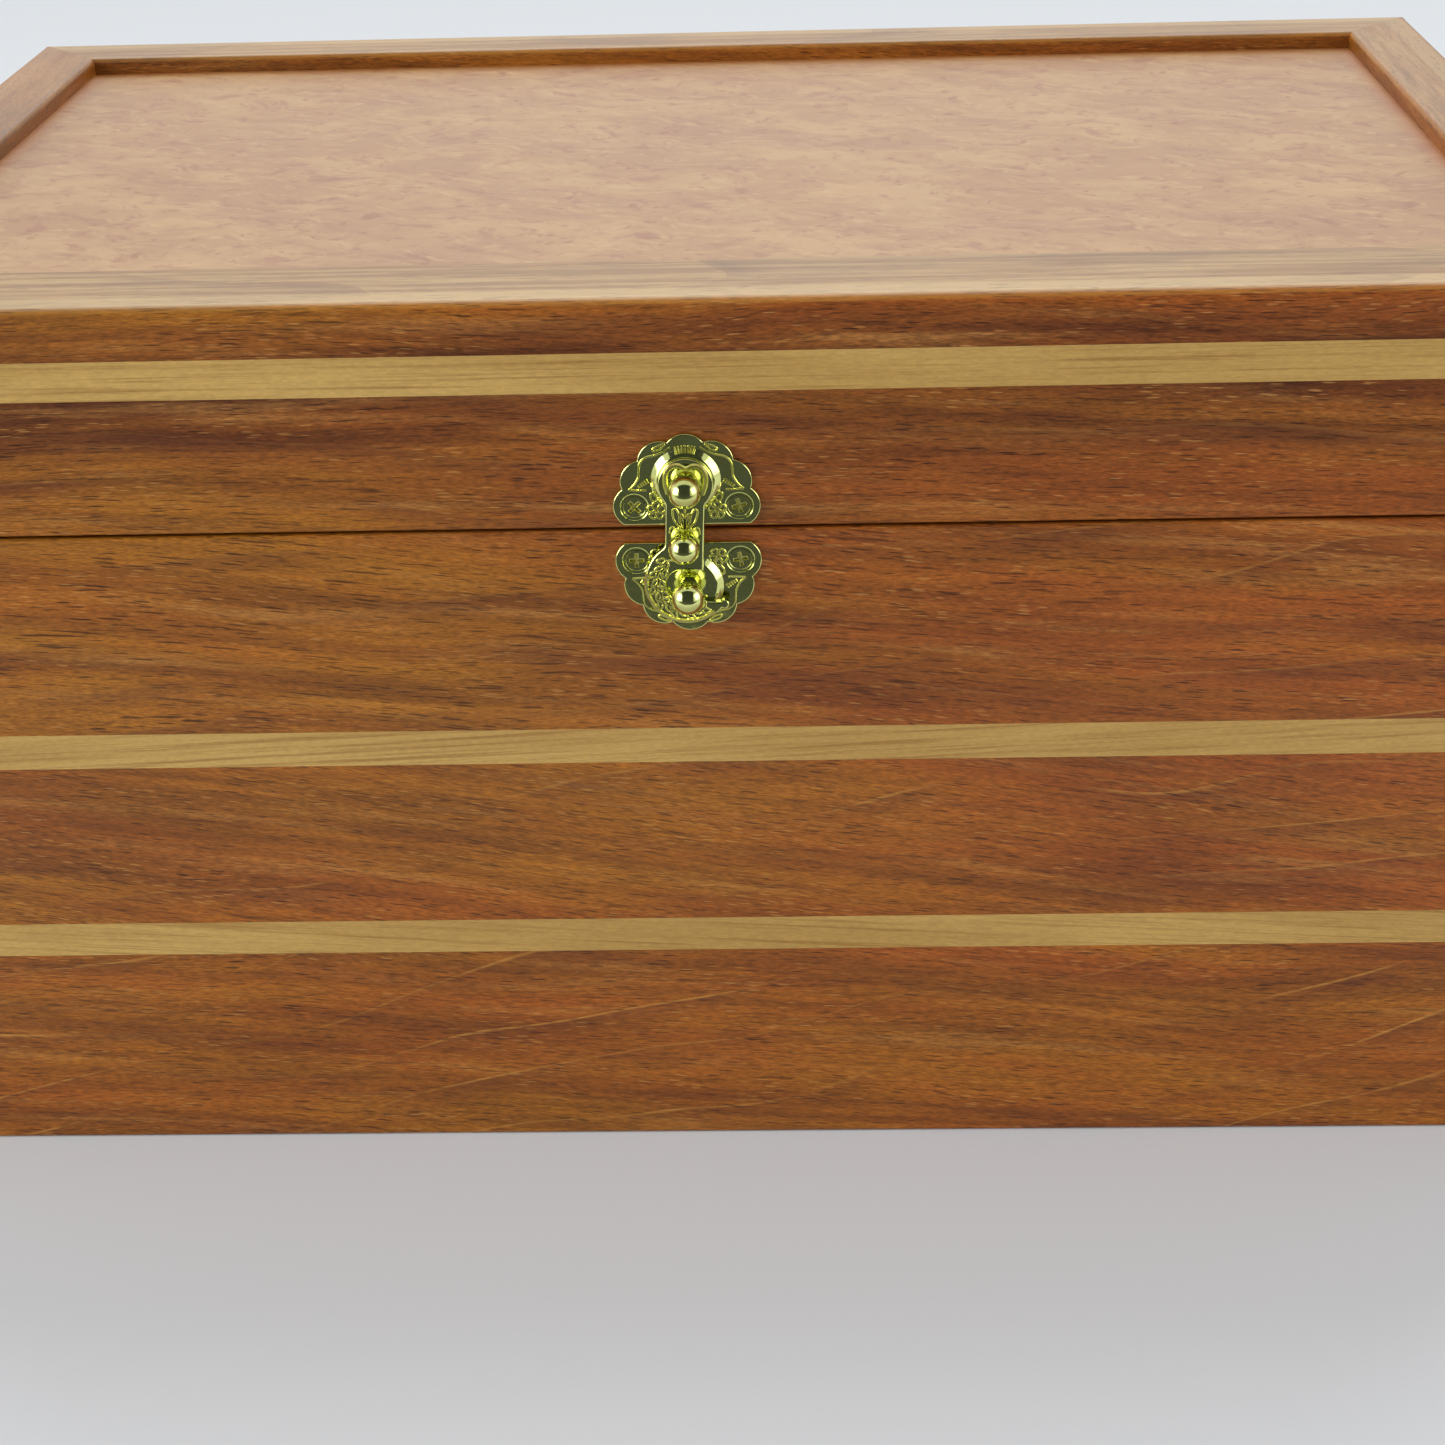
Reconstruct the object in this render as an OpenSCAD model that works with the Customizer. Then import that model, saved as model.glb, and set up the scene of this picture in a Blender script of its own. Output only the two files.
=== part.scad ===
// Lidded wooden box with a hinged lid and a brass swing latch.
// Each wall is glued up from dark boards and pale stripes, and the walls meet in mitres.
// Millimetres, +Z up, front towards -Y. The origin is the middle of the underside.

/* [Box] */
// Width of the box, left to right
box_w = 356; // [220:1:480]
// Depth of the box, front to back
box_d = 248; // [160:1:360]
// Thickness of the walls
wall_t = 18.5; // [16:0.5:24]
// Radius of the four upright corners
corner_r = 3; // [1:0.5:5]
// Gap between the closed lid and the case
seam = 0.5; // [0.2:0.1:0.8]
// Rounding of the outer edges that meet at the seam
seam_edge_r = 0.6; // [0.2:0.1:1]
// Rounding of the outer edge round the underside
base_edge_r = 0.8; // [0.2:0.1:2]

/* [Case courses, bottom to top] */
// Height of the lower board
lower_board_h = 43.2; // [25:0.1:60]
// Height of the lower stripe
lower_stripe_h = 7.2; // [3:0.1:15]
// Height of the middle board
middle_board_h = 34.4; // [15:0.1:60]
// Height of the upper stripe
upper_stripe_h = 7.2; // [3:0.1:15]
// Height of the upper board
upper_board_h = 40.6; // [30:0.1:60]

/* [Lid courses, bottom to top] */
// Height of the lid's lower board
lid_lower_board_h = 26.3; // [22:0.1:50]
// Height of the lid's stripe
lid_stripe_h = 7.5; // [3:0.1:15]
// Height of the lid's top board
lid_top_board_h = 9.9; // [9.5:0.1:20]
// Rounding of the lid's outer top edge
lid_outer_r = 3; // [1:0.5:4.5]
// Rounding of the lid's inner top edge
lid_inner_r = 1.6; // [0.5:0.1:3]
// Width of the lid's top board at the front, seen from above
lid_front_rail_w = 27; // [19:0.5:32]
// Width of the lid's top board at the back, seen from above
lid_back_rail_w = 20.5; // [19:0.5:32]

/* [Panels] */
// Thickness of the lid's panel
lid_panel_t = 4.8; // [3:0.1:5.2]
// Depth of the lid panel's face below the rim
lid_panel_recess = 4; // [2:0.1:4.5]
// Depth of the groove that holds the lid's panel
groove_d = 6; // [3:0.5:9]
// Thickness of the bottom panel
bottom_t = 9; // [5:0.5:15]
// Width of the rebate that the bottom panel is let into
rebate_w = 9; // [4:0.5:12]
// Gap round the edge of each panel
panel_gap = 0.3; // [0.1:0.1:1]

/* [Hinges] */
// Distance of each hinge's middle from the side of the box
hinge_inset = 66; // [48:1:75]
// Width of a hinge, along its pin
hinge_w = 38; // [25:1:50]
// Depth of a leaf, from the back of the wall
leaf_d = 14; // [12:0.5:15]
// Thickness of a leaf
leaf_t = 1.2; // [0.8:0.1:1.6]
// Radius of the knuckles
knuckle_r = 2.5; // [2:0.1:3.5]
// Number of knuckles, the case's and the lid's together
knuckle_count = 5; // [3:2:7]
// Radius of the hinge pin
pin_r = 0.9; // [0.6:0.05:1.3]
// Length of the stop lips behind the barrel
lip_len = 3.2; // [2:0.1:5]
// Thickness of the stop lips
lip_t = 1.2; // [0.8:0.1:1.8]
// Angle at which the stop lips halt the lid
open_angle = 95; // [85:1:110]

/* [Hinge screws] */
// Radius of a hinge screw's head
hinge_screw_head_r = 2.4; // [2:0.1:2.8]
// Radius of a hinge screw's shank
hinge_screw_r = 1.2; // [0.8:0.1:1.6]
// Length of a hinge screw
hinge_screw_len = 12; // [8:0.5:18]
// Distance of the outer screws from the ends of the hinge
hinge_screw_inset = 5.5; // [4:0.5:8]

/* [Latch plates] */
// Thickness of a plate
plate_t = 0.9; // [0.6:0.1:1.5]
// Radius of the circle on which the scallops meet
cusp_r = 12; // [10.5:0.1:14]
// Height of that circle's centre above the plate's straight edge
cusp_y = 4.5; // [3:0.1:6]
// Angle between two scallops
scallop_pitch = 32; // [30:0.5:34]
// Radius of a scallop
scallop_r = 4.2; // [3.8:0.1:5]
// Sideways place of the corner scallops
corner_scallop_x = 9.5; // [8.5:0.1:11]
// Height of the corner scallops' centres above the straight edge
corner_scallop_y = 3.6; // [2.5:0.1:4]
// Radius of the raised boss
boss_r = 6.5; // [5.8:0.1:7]
// Height of the boss above the plate's face
boss_t = 1.3; // [0.6:0.1:2]
// Distance of the boss from the straight edge
boss_y = 8.6; // [7:0.1:10]
// Height of the latch plate's straight edge above the lid's lower edge
latch_plate_rise = 0.85; // [0.2:0.05:2]
// Depth of the keeper plate's straight edge below the case's top
keeper_plate_drop = 2.25; // [1:0.05:4]
// Sideways place of the plate screws
plate_screw_x = 9.7; // [8.5:0.1:10.5]
// Distance of the plate screws from the straight edge
plate_screw_y = 3.5; // [3:0.1:5]
// Radius of a plate screw's head
plate_screw_head_r = 2.1; // [1.6:0.1:2.3]
// Radius of a plate screw's shank
plate_screw_r = 1; // [0.7:0.05:1.3]
// Length of a plate screw
plate_screw_len = 9.5; // [6:0.5:14]

/* [Latch studs and arm] */
// Radius of the ball on each stud
ball_r = 3.1; // [2.5:0.1:3.6]
// Radius of the stud's shaft under its ball
shaft_r = 1.8; // [1.6:0.1:2.1]
// Radius of the stud's tail in its plate
tail_r = 1.4; // [1:0.1:1.5]
// Thickness of the arm
arm_t = 1.3; // [0.8:0.1:2]
// Radius of the arm's head round the pivot
arm_head_r = 5.15; // [4.5:0.05:5.8]
// Width of the arm's stem
stem_w = 7.2; // [6:0.1:8]
// Outer radius of the hook
hook_r = 8.1; // [7.5:0.1:8.8]
// Distance of the hook's centre above the keeper stud
hook_rise = 1.8; // [1:0.1:2.4]
// Radius of the hollow curves where the stem widens
arm_fillet_r = 1.8; // [1:0.1:2.4]
// Radius of the hook's tip
hook_tip_r = 0.9; // [0.6:0.1:1.2]
// Tilt of the hooked arm, its lower end to the left
arm_tilt = 2.5; // [0:0.1:3]
// Radius of the finger knob's ball
knob_r = 2.9; // [2.3:0.1:3.4]
// Distance of the finger knob below the pivot
knob_y = 11.3; // [10:0.1:12]
// Radius of the knob's tail in the arm
knob_tail_r = 1.2; // [0.8:0.1:1.5]

/* [Hidden] */
$fn = 72;
eps = 0.01;

// Fits and small details
running_gap = 0.05;     // radial gap of a pin or a stud in its hole
screw_gap = 0.05;       // gap round a screw in its hole
side_gap = 0.15;        // gap between two knuckles, and round a leaf in its pocket
barrel_gap = 0.5;       // gap between the barrel and the back of the box
leaf_gap = 0.4;         // gap between a leaf's edge and the other leaf's knuckles
lip_gap = 0.3;          // gap between a lip and the other leaf's knuckles
lip_slack = 0.5;        // degrees left between the lips at the open limit
arm_gap = 0.1;          // gap between the boss and the arm
ball_gap = 0.2;         // gap between the arm and a ball
slot_room = 1.25;       // how much wider than the stud's shaft the hook's slot is, each side
hook_seat_gap = 0.25;   // gap between the stud and the hook's prong
slot_play = 1.15;       // how far past the stud the slot's round end is centred
slot_tip_turn = 33;     // degrees below level at which the hook's tip lies
boss_edge = 1.2;        // bevel round the boss
dimple_edge = 0.4;      // width of the dimple round a plate screw's head
dimple_depth = 0.25;    // depth of that dimple
pin_head_r = 1.5;       // radius of the pin's two heads
pin_head_t = 0.6;       // thickness of those heads
recess_w = 0.55;        // width of a screw's cross recess
recess_share = 0.28;    // depth of that recess, in head radii

// Heights
lower_stripe_z = lower_board_h;
middle_board_z = lower_stripe_z + lower_stripe_h;
upper_stripe_z = middle_board_z + middle_board_h;
upper_board_z = upper_stripe_z + upper_stripe_h;
case_h = upper_board_z + upper_board_h;
lid_z = case_h + seam;
lid_stripe_z = lid_z + lid_lower_board_h;
lid_top_board_z = lid_stripe_z + lid_stripe_h;
box_h = lid_top_board_z + lid_top_board_h;
lid_panel_z = box_h - lid_panel_recess - lid_panel_t;

// Hinges
hinge_x = box_w / 2 - hinge_inset;
hinge_screw_x = hinge_w / 2 - hinge_screw_inset;
axis_y = box_d / 2 + knuckle_r + barrel_gap;
axis_z = case_h + seam / 2;
knuckle_pitch = hinge_w / knuckle_count;

// Latch: the pivot and the keeper stud
pivot_z = lid_z + latch_plate_rise + boss_y;
stud_z = case_h - keeper_plate_drop - boss_y;
reach = pivot_z - stud_z;
boss_top = plate_t + boss_t;
arm_back = boss_top + arm_gap;
arm_front = arm_back + arm_t;

// The keeper stud as the hooked arm sees it, and the hook round it
stud_x_in_arm = reach * sin(arm_tilt);
stud_y_in_arm = -reach * cos(arm_tilt);
hook_at = [stud_x_in_arm, stud_y_in_arm + hook_rise];
slot_r = shaft_r + slot_room;
slot_at = [stud_x_in_arm - slot_play, stud_y_in_arm + slot_room - hook_seat_gap];

JATOBA = "#9c5029";
MAPLE = "#c4a065";
BURL = "#c58d70";
PLYWOOD = "#d2b88a";
BRASS = "#c9b45a";
STEEL = "#b09a58";

SIDES = ["front", "right", "back", "left"];

// Courses: name, height of the underside, height, colour
CASE_COURSES = [
    ["lower_board", 0, lower_board_h, JATOBA],
    ["lower_stripe", lower_stripe_z, lower_stripe_h, MAPLE],
    ["middle_board", middle_board_z, middle_board_h, JATOBA],
    ["upper_stripe", upper_stripe_z, upper_stripe_h, MAPLE],
    ["upper_board", upper_board_z, upper_board_h, JATOBA]
];
LID_COURSES = [
    ["lower_board", lid_z, lid_lower_board_h, JATOBA],
    ["stripe", lid_stripe_z, lid_stripe_h, MAPLE],
    ["top_board", lid_top_board_z, lid_top_board_h, JATOBA]
];

// ---- Placing ----

// From a wall's own frame, with its outer face on the X axis, to its side of the box
module on_side(side) {
    turn = search([side], SIDES)[0] * 90;
    out = side == "front" || side == "back" ? box_d / 2 : box_w / 2;
    rotate([0, 0, turn]) translate([0, -out, 0]) children();
}

// From the latch's own frame, with X right, Y up and Z out of the front, to the box
module on_front(height) {
    translate([0, -box_d / 2, height]) rotate([90, 0, 0]) children();
}

module each_hinge_screw() {
    stagger = leaf_d / 6;
    for (hinge = [-1, 1], step = [-1, 0, 1])
        translate([
            hinge * hinge_x + step * hinge_screw_x,
            box_d / 2 - leaf_d / 2 + (step == 0 ? stagger : -stagger),
            0
        ]) children();
}

module each_plate_screw() {
    for (side = [-1, 1])
        translate([side * plate_screw_x, plate_screw_y, 0]) children();
}

// ---- Walls ----

// Width of a wall's course, from its outer to its inner face. Only the lid's top boards differ.
function course_width(side, name) =
    name != "top_board" ? wall_t
    : side == "front" ? lid_front_rail_w
    : side == "back" ? lid_back_rail_w
    : wall_t;

// The sides on which a wall's left and right ends lie, seen from outside
function neighbour(side, step) = SIDES[(search([side], SIDES)[0] + 4 + step) % 4];

// A board seen from above, with its outer corners rounded. Its ends are mitred from the box's
// corner to where its inner face meets those of the boards on its left and right.
module mitred_plan(length, width, left, right) {
    half = length / 2;
    difference() {
        polygon([[-half, 0], [half, 0], [half - right, width], [-half + left, width]]);
        for (end = [0, 1]) mirror([end, 0]) translate([-half, 0]) edge_waste(corner_r);
    }
}

// What a rounded edge takes off a square corner at the origin
module edge_waste(r) {
    difference() {
        translate([-eps, -eps]) square(r + eps);
        translate([r, r]) circle(r = r);
    }
}

// A board's cross-section: outer face at x = 0, inner face at x = width
module board_profile(width, height, base_r, outer_r, inner_r) {
    difference() {
        square([width, height]);
        if (base_r > 0) edge_waste(base_r);
        if (outer_r > 0) translate([0, height]) mirror([0, 1]) edge_waste(outer_r);
        if (inner_r > 0) translate([width, height]) rotate(180) edge_waste(inner_r);
    }
}

function side_length(side) = side == "front" || side == "back" ? box_w : box_d;

// One course of one wall, in the wall's own frame
module course_blank(side, course, base_r = 0, outer_r = 0, inner_r = 0) {
    name = course[0];
    height = course[2];
    length = side_length(side);
    width = course_width(side, name);
    left = course_width(neighbour(side, -1), name);
    right = course_width(neighbour(side, 1), name);
    translate([0, 0, course[1]])
        if (base_r + outer_r + inner_r == 0)
            linear_extrude(height) mitred_plan(length, width, left, right);
        else intersection() {
            linear_extrude(height) mitred_plan(length, width, left, right);
            translate([-length / 2, 0, 0]) rotate([90, 0, 90])
                linear_extrude(length) board_profile(width, height, base_r, outer_r, inner_r);
        }
}

// A slot along the inner face of a board
module inner_cut(side, width, depth, low, height) {
    length = side_length(side);
    translate([-length / 2, width - depth, low]) cube([length, depth + eps, height]);
}

module case_course(side, course) {
    name = course[0];
    color(course[3]) difference() {
        on_side(side) difference() {
            course_blank(
                side, course,
                name == "lower_board" ? base_edge_r : 0,
                name == "upper_board" ? seam_edge_r : 0
            );
            if (name == "lower_board") inner_cut(side, wall_t, rebate_w, -eps, bottom_t + eps);
        }
        if (name == "upper_board" && side == "back") case_hinge_cuts();
        if (name == "upper_board" && side == "front") keeper_screw_holes();
    }
}

module lid_course(side, course) {
    name = course[0];
    color(course[3]) difference() {
        on_side(side) difference() {
            course_blank(
                side, course,
                name == "lower_board" ? seam_edge_r : 0,
                name == "top_board" ? lid_outer_r : 0,
                name == "top_board" ? lid_inner_r : 0
            );
            if (name == "top_board")
                inner_cut(side, course_width(side, name), groove_d, lid_panel_z, lid_panel_t);
        }
        if (name == "lower_board" && side == "back") lid_hinge_cuts();
        if (name == "lower_board" && side == "front") latch_screw_holes();
    }
}

// A flat panel that reaches a given depth into a course's boards on all four sides
module panel(name, depth, low, thick) {
    half_w = box_w / 2 - wall_t + depth - panel_gap;
    front = -box_d / 2 + course_width("front", name) - depth + panel_gap;
    back = box_d / 2 - course_width("back", name) + depth - panel_gap;
    translate([-half_w, front, low]) cube([2 * half_w, back - front, thick]);
}

module bottom_panel() { color(PLYWOOD) panel("lower_board", rebate_w, 0, bottom_t); }
module lid_panel() { color(BURL) panel("top_board", groove_d, lid_panel_z, lid_panel_t); }

// ---- Screws ----

// A countersunk screw, its head's face at z = 0 and its point down
module screw_body(head_r, shank_r, length, gap = 0) {
    head_h = head_r - shank_r;
    rotate_extrude() polygon([
        [0, gap], [head_r + gap, gap], [head_r + gap, 0], [shank_r + gap, -head_h],
        [shank_r + gap, -length + 2 * shank_r], [0, -length - gap]
    ]);
}

module wood_screw(head_r, shank_r, length, turn) {
    difference() {
        screw_body(head_r, shank_r, length);
        for (arm = [0, 90])
            rotate(turn + arm)
                translate([-0.62 * head_r, -recess_w / 2, -recess_share * head_r])
                    cube([1.24 * head_r, recess_w, head_r]);
    }
}

// ---- Hinges ----

// Hinge frame: origin on the pin's axis at the hinge's middle, X along the pin
module on_hinge(side) {
    translate([side * hinge_x, axis_y, axis_z]) children();
}

// The knuckles of one leaf: the case has the odd ones, counted from the end, the lid the even
module each_knuckle(first) {
    for (i = [first : 2 : knuckle_count - 1])
        translate([-hinge_w / 2 + i * knuckle_pitch + side_gap / 2, 0, 0]) children();
}

// A box along the pin, from y_low to y_high and z_low to z_high
module bar(length, y_low, y_high, z_low, z_high) {
    translate([0, y_low, z_low]) cube([length, y_high - y_low, z_high - z_low]);
}

// One leaf with its knuckles and its stop lip; up is 1 on the lid and -1 on the case.
// The lip's stopping face lies in a plane through the pin's axis.
module leaf(up, first) {
    knuckle_w = knuckle_pitch - side_gap;
    plate_y = box_d / 2 - axis_y;
    face_z = seam / 2;
    lip_angle = up * (open_angle + lip_slack) / 2;
    mirror([0, 0, up > 0 ? 0 : 1]) difference() {
        union() {
            translate([-hinge_w / 2, 0, 0])
                bar(hinge_w, plate_y - leaf_d, -knuckle_r - leaf_gap, face_z, face_z + leaf_t);
            each_knuckle(first) {
                bar(knuckle_w, -knuckle_r - leaf_gap - eps, 0, face_z, face_z + leaf_t);
                rotate([0, 90, 0]) cylinder(r = knuckle_r, h = knuckle_w);
                rotate([abs(lip_angle), 0, 0])
                    bar(knuckle_w, pin_r, knuckle_r + lip_gap + eps, 0, lip_t);
            }
            rotate([abs(lip_angle), 0, 0]) translate([-hinge_w / 2, 0, 0])
                bar(hinge_w, knuckle_r + lip_gap, knuckle_r + lip_len, 0, lip_t);
        }
        translate([-hinge_w / 2 - eps, 0, 0]) rotate([0, 90, 0])
            cylinder(r = pin_r + running_gap, h = hinge_w + 2 * eps);
    }
}

module case_leaf(side) {
    color(BRASS) difference() {
        on_hinge(side) leaf(-1, 0);
        translate([0, 0, case_h]) each_hinge_screw() hinge_screw_body(screw_gap);
    }
}

module lid_leaf(side) {
    color(BRASS) difference() {
        on_hinge(side) leaf(1, 1);
        translate([0, 0, lid_z]) mirror([0, 0, 1]) each_hinge_screw() hinge_screw_body(screw_gap);
    }
}

module hinge_pin(side) {
    color(STEEL) on_hinge(side) rotate([0, 90, 0]) {
        cylinder(r = pin_r, h = hinge_w, center = true);
        for (end = [-1, 1])
            translate([0, 0, end * (hinge_w + pin_head_t) / 2])
                cylinder(r = pin_head_r, h = pin_head_t, center = true);
    }
}

module hinge_screw_body(gap = 0) {
    screw_body(hinge_screw_head_r, hinge_screw_r, hinge_screw_len, gap);
}

// The pocket for each leaf, open at the back of the wall, from z_low to z_high
module hinge_pockets(z_low, z_high) {
    for (side = [-1, 1])
        translate([side * hinge_x - hinge_w / 2 - side_gap, box_d / 2 - leaf_d - side_gap, z_low])
            cube([hinge_w + 2 * side_gap, leaf_d + side_gap + 1, z_high - z_low]);
}

module case_hinge_cuts() {
    hinge_pockets(case_h - leaf_t, case_h + 1);
    translate([0, 0, case_h]) each_hinge_screw() hinge_screw_body(screw_gap);
}

module lid_hinge_cuts() {
    hinge_pockets(lid_z - 1, lid_z + leaf_t);
    translate([0, 0, lid_z]) mirror([0, 0, 1]) each_hinge_screw() hinge_screw_body(screw_gap);
}

module case_hinge_screws() {
    color(BRASS) translate([0, 0, case_h]) each_hinge_screw()
        wood_screw(hinge_screw_head_r, hinge_screw_r, hinge_screw_len, 20);
}

module lid_hinge_screws() {
    color(BRASS) translate([0, 0, lid_z]) mirror([0, 0, 1]) each_hinge_screw()
        wood_screw(hinge_screw_head_r, hinge_screw_r, hinge_screw_len, 65);
}

// ---- Latch ----

// The scalloped outline of a plate, its straight edge along the X axis
module plate_outline() {
    half_pitch = scallop_pitch / 2;
    ring_r = cusp_r * cos(half_pitch) - sqrt(pow(scallop_r, 2) - pow(cusp_r * sin(half_pitch), 2));
    intersection() {
        union() {
            translate([0, cusp_y]) {
                circle(r = cusp_r - 0.5);
                for (i = [-2 : 2])
                    rotate(i * scallop_pitch) translate([0, ring_r]) circle(r = scallop_r);
            }
            for (side = [-1, 1])
                translate([side * corner_scallop_x, corner_scallop_y]) circle(r = scallop_r);
        }
        translate([-2 * cusp_r, 0]) square([4 * cusp_r, 3 * cusp_r]);
    }
}

// A scalloped plate with its boss, lying on z = 0
module scalloped_plate() {
    difference() {
        union() {
            linear_extrude(plate_t) plate_outline();
            translate([0, boss_y, 0]) rotate_extrude() polygon([
                [0, 0], [boss_r, 0], [boss_r, boss_top - boss_edge],
                [boss_r - boss_edge, boss_top], [0, boss_top]
            ]);
        }
        translate([0, boss_y, -eps]) cylinder(r = tail_r + running_gap, h = boss_top + 2 * eps);
        each_plate_screw() {
            translate([0, 0, plate_t - dimple_depth])
                cylinder(r = plate_screw_head_r + dimple_edge, h = boss_t);
            translate([0, 0, plate_t - dimple_depth]) plate_screw_body(screw_gap);
        }
    }
}

module plate_screw_body(gap = 0) {
    screw_body(plate_screw_head_r, plate_screw_r, plate_screw_len, gap);
}

// A stud: its tail through the plate, its shaft in front of the boss, its ball outermost
module ball_stud() {
    ball_z = arm_front + ball_gap + ball_r;
    cylinder(r = tail_r, h = boss_top + eps);
    translate([0, 0, boss_top]) cylinder(r = shaft_r, h = ball_z - boss_top);
    translate([0, 0, ball_z]) sphere(r = ball_r);
}

module on_latch_plate() { on_front(lid_z + latch_plate_rise) children(); }
module on_keeper_plate() { on_front(case_h - keeper_plate_drop) mirror([0, 1, 0]) children(); }

module latch_plate() { color(BRASS) on_latch_plate() scalloped_plate(); }
module keeper_plate() { color(BRASS) on_keeper_plate() scalloped_plate(); }
module latch_pivot_stud() { color(BRASS) on_front(pivot_z) ball_stud(); }
module keeper_stud() { color(BRASS) on_front(stud_z) ball_stud(); }

module plate_screws(turns) {
    for (i = [0, 1])
        translate([(2 * i - 1) * plate_screw_x, plate_screw_y, plate_t - dimple_depth])
            wood_screw(plate_screw_head_r, plate_screw_r, plate_screw_len, turns[i]);
}

module latch_plate_screws() { color(BRASS) on_latch_plate() plate_screws([45, 15]); }
module keeper_plate_screws() { color(BRASS) on_keeper_plate() plate_screws([0, -10]); }

module latch_screw_holes() {
    on_latch_plate() translate([0, 0, plate_t - dimple_depth])
        each_plate_screw() plate_screw_body(screw_gap);
}

module keeper_screw_holes() {
    on_keeper_plate() translate([0, 0, plate_t - dimple_depth])
        each_plate_screw() plate_screw_body(screw_gap);
}

// A hollow curve joins the stem's edge to a round end of radius r, centred at [x, y].
// side is -1 or 1, and up is the way from the round end's centre to the curve's.
// The curve bites eps into both, so that it cuts them cleanly.
function fillet_centre(at, r, side, up) =
    let (x = side * (stem_w / 2 + arm_fillet_r - eps))
    [x, at[1] + up * sqrt(pow(r + arm_fillet_r - eps, 2) - pow(x - at[0], 2))];

// The corners run anticlockwise on either side.
module fillet_fill(at, r, side, up) {
    centre = fillet_centre(at, r, side, up);
    inside = at + (centre - at) * (r - 0.1) / (r + arm_fillet_r);
    root_x = -side * stem_w / 4;
    corners = [[root_x, centre[1]], centre, inside, [root_x, at[1]]];
    polygon(side * up < 0 ? corners : [for (i = [3 : -1 : 0]) corners[i]]);
}

module fillet_cut(at, r, side, up) {
    translate(fillet_centre(at, r, side, up)) circle(r = arm_fillet_r);
}

// The arm's outline, hung straight down from its pivot at the origin
module arm_outline() {
    mouth_top = hook_at[1] + hook_r;
    difference() {
        union() {
            circle(r = arm_head_r);
            translate([-stem_w / 2, hook_at[1]]) square([stem_w, -hook_at[1]]);
            translate(hook_at) circle(r = hook_r);
            for (side = [-1, 1]) fillet_fill([0, 0], arm_head_r, side, -1);
            fillet_fill(hook_at, hook_r, -1, 1);
        }
        for (side = [-1, 1]) fillet_cut([0, 0], arm_head_r, side, -1);
        fillet_cut(hook_at, hook_r, -1, 1);
        translate(slot_at) circle(r = slot_r);
        translate([slot_at[0], slot_at[1] - slot_r]) square([3 * hook_r, 2 * slot_r]);
        translate([stem_w / 2, slot_at[1]]) square([2 * hook_r, mouth_top - slot_at[1]]);
    }
    tip_r = hook_r - 0.1;
    translate(hook_at + tip_r * [cos(slot_tip_turn), -sin(slot_tip_turn)]) circle(r = hook_tip_r);
}

module hooked_arm() { on_front(pivot_z) rotate(-arm_tilt) children(); }

module latch_arm() {
    color(BRASS) hooked_arm() difference() {
        translate([0, 0, arm_back]) linear_extrude(arm_t) arm_outline();
        translate([0, 0, arm_back - eps]) {
            cylinder(r = shaft_r + running_gap, h = arm_t + 2 * eps);
            translate([0, -knob_y, 0]) cylinder(r = knob_tail_r + running_gap, h = arm_t + 2 * eps);
        }
    }
}

module latch_knob() {
    neck_r = knob_tail_r + 0.4;
    color(BRASS) hooked_arm() translate([0, -knob_y, arm_back]) {
        cylinder(r = knob_tail_r, h = arm_t + eps);
        translate([0, 0, arm_t]) cylinder(r = neck_r, h = knob_r);
        translate([0, 0, arm_t + knob_r]) sphere(r = knob_r);
    }
}

// ---- The pieces, by name ----

for (side = SIDES, course = CASE_COURSES)
    case_course(side, course);
for (side = SIDES, course = LID_COURSES)
    lid_course(side, course);
bottom_panel();
lid_panel();
case_leaf(-1);  // left_hinge_case_leaf
lid_leaf(-1);  // left_hinge_lid_leaf
hinge_pin(-1);  // left_hinge_pin
case_leaf(1);  // right_hinge_case_leaf
lid_leaf(1);  // right_hinge_lid_leaf
hinge_pin(1);  // right_hinge_pin
case_hinge_screws();
lid_hinge_screws();
latch_plate();
latch_pivot_stud();
latch_plate_screws();
keeper_plate();
keeper_stud();
keeper_plate_screws();
latch_arm();
latch_knob();
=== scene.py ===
# %% [markdown]
# # A lidded wooden box with a brass swing latch
#
# Four walls of dark jatoba boards and pale maple stripes meet in mitres. The lid repeats
# them and carries a figured panel, and a small plated latch holds it shut. The solids come
# from the construction model, so this lesson is about their looks. Every new piece is made
# where its solid is, in metres, with the front of the box towards -Y.

import math

import bmesh
import bpy
from mathutils import Matrix, Vector


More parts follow.
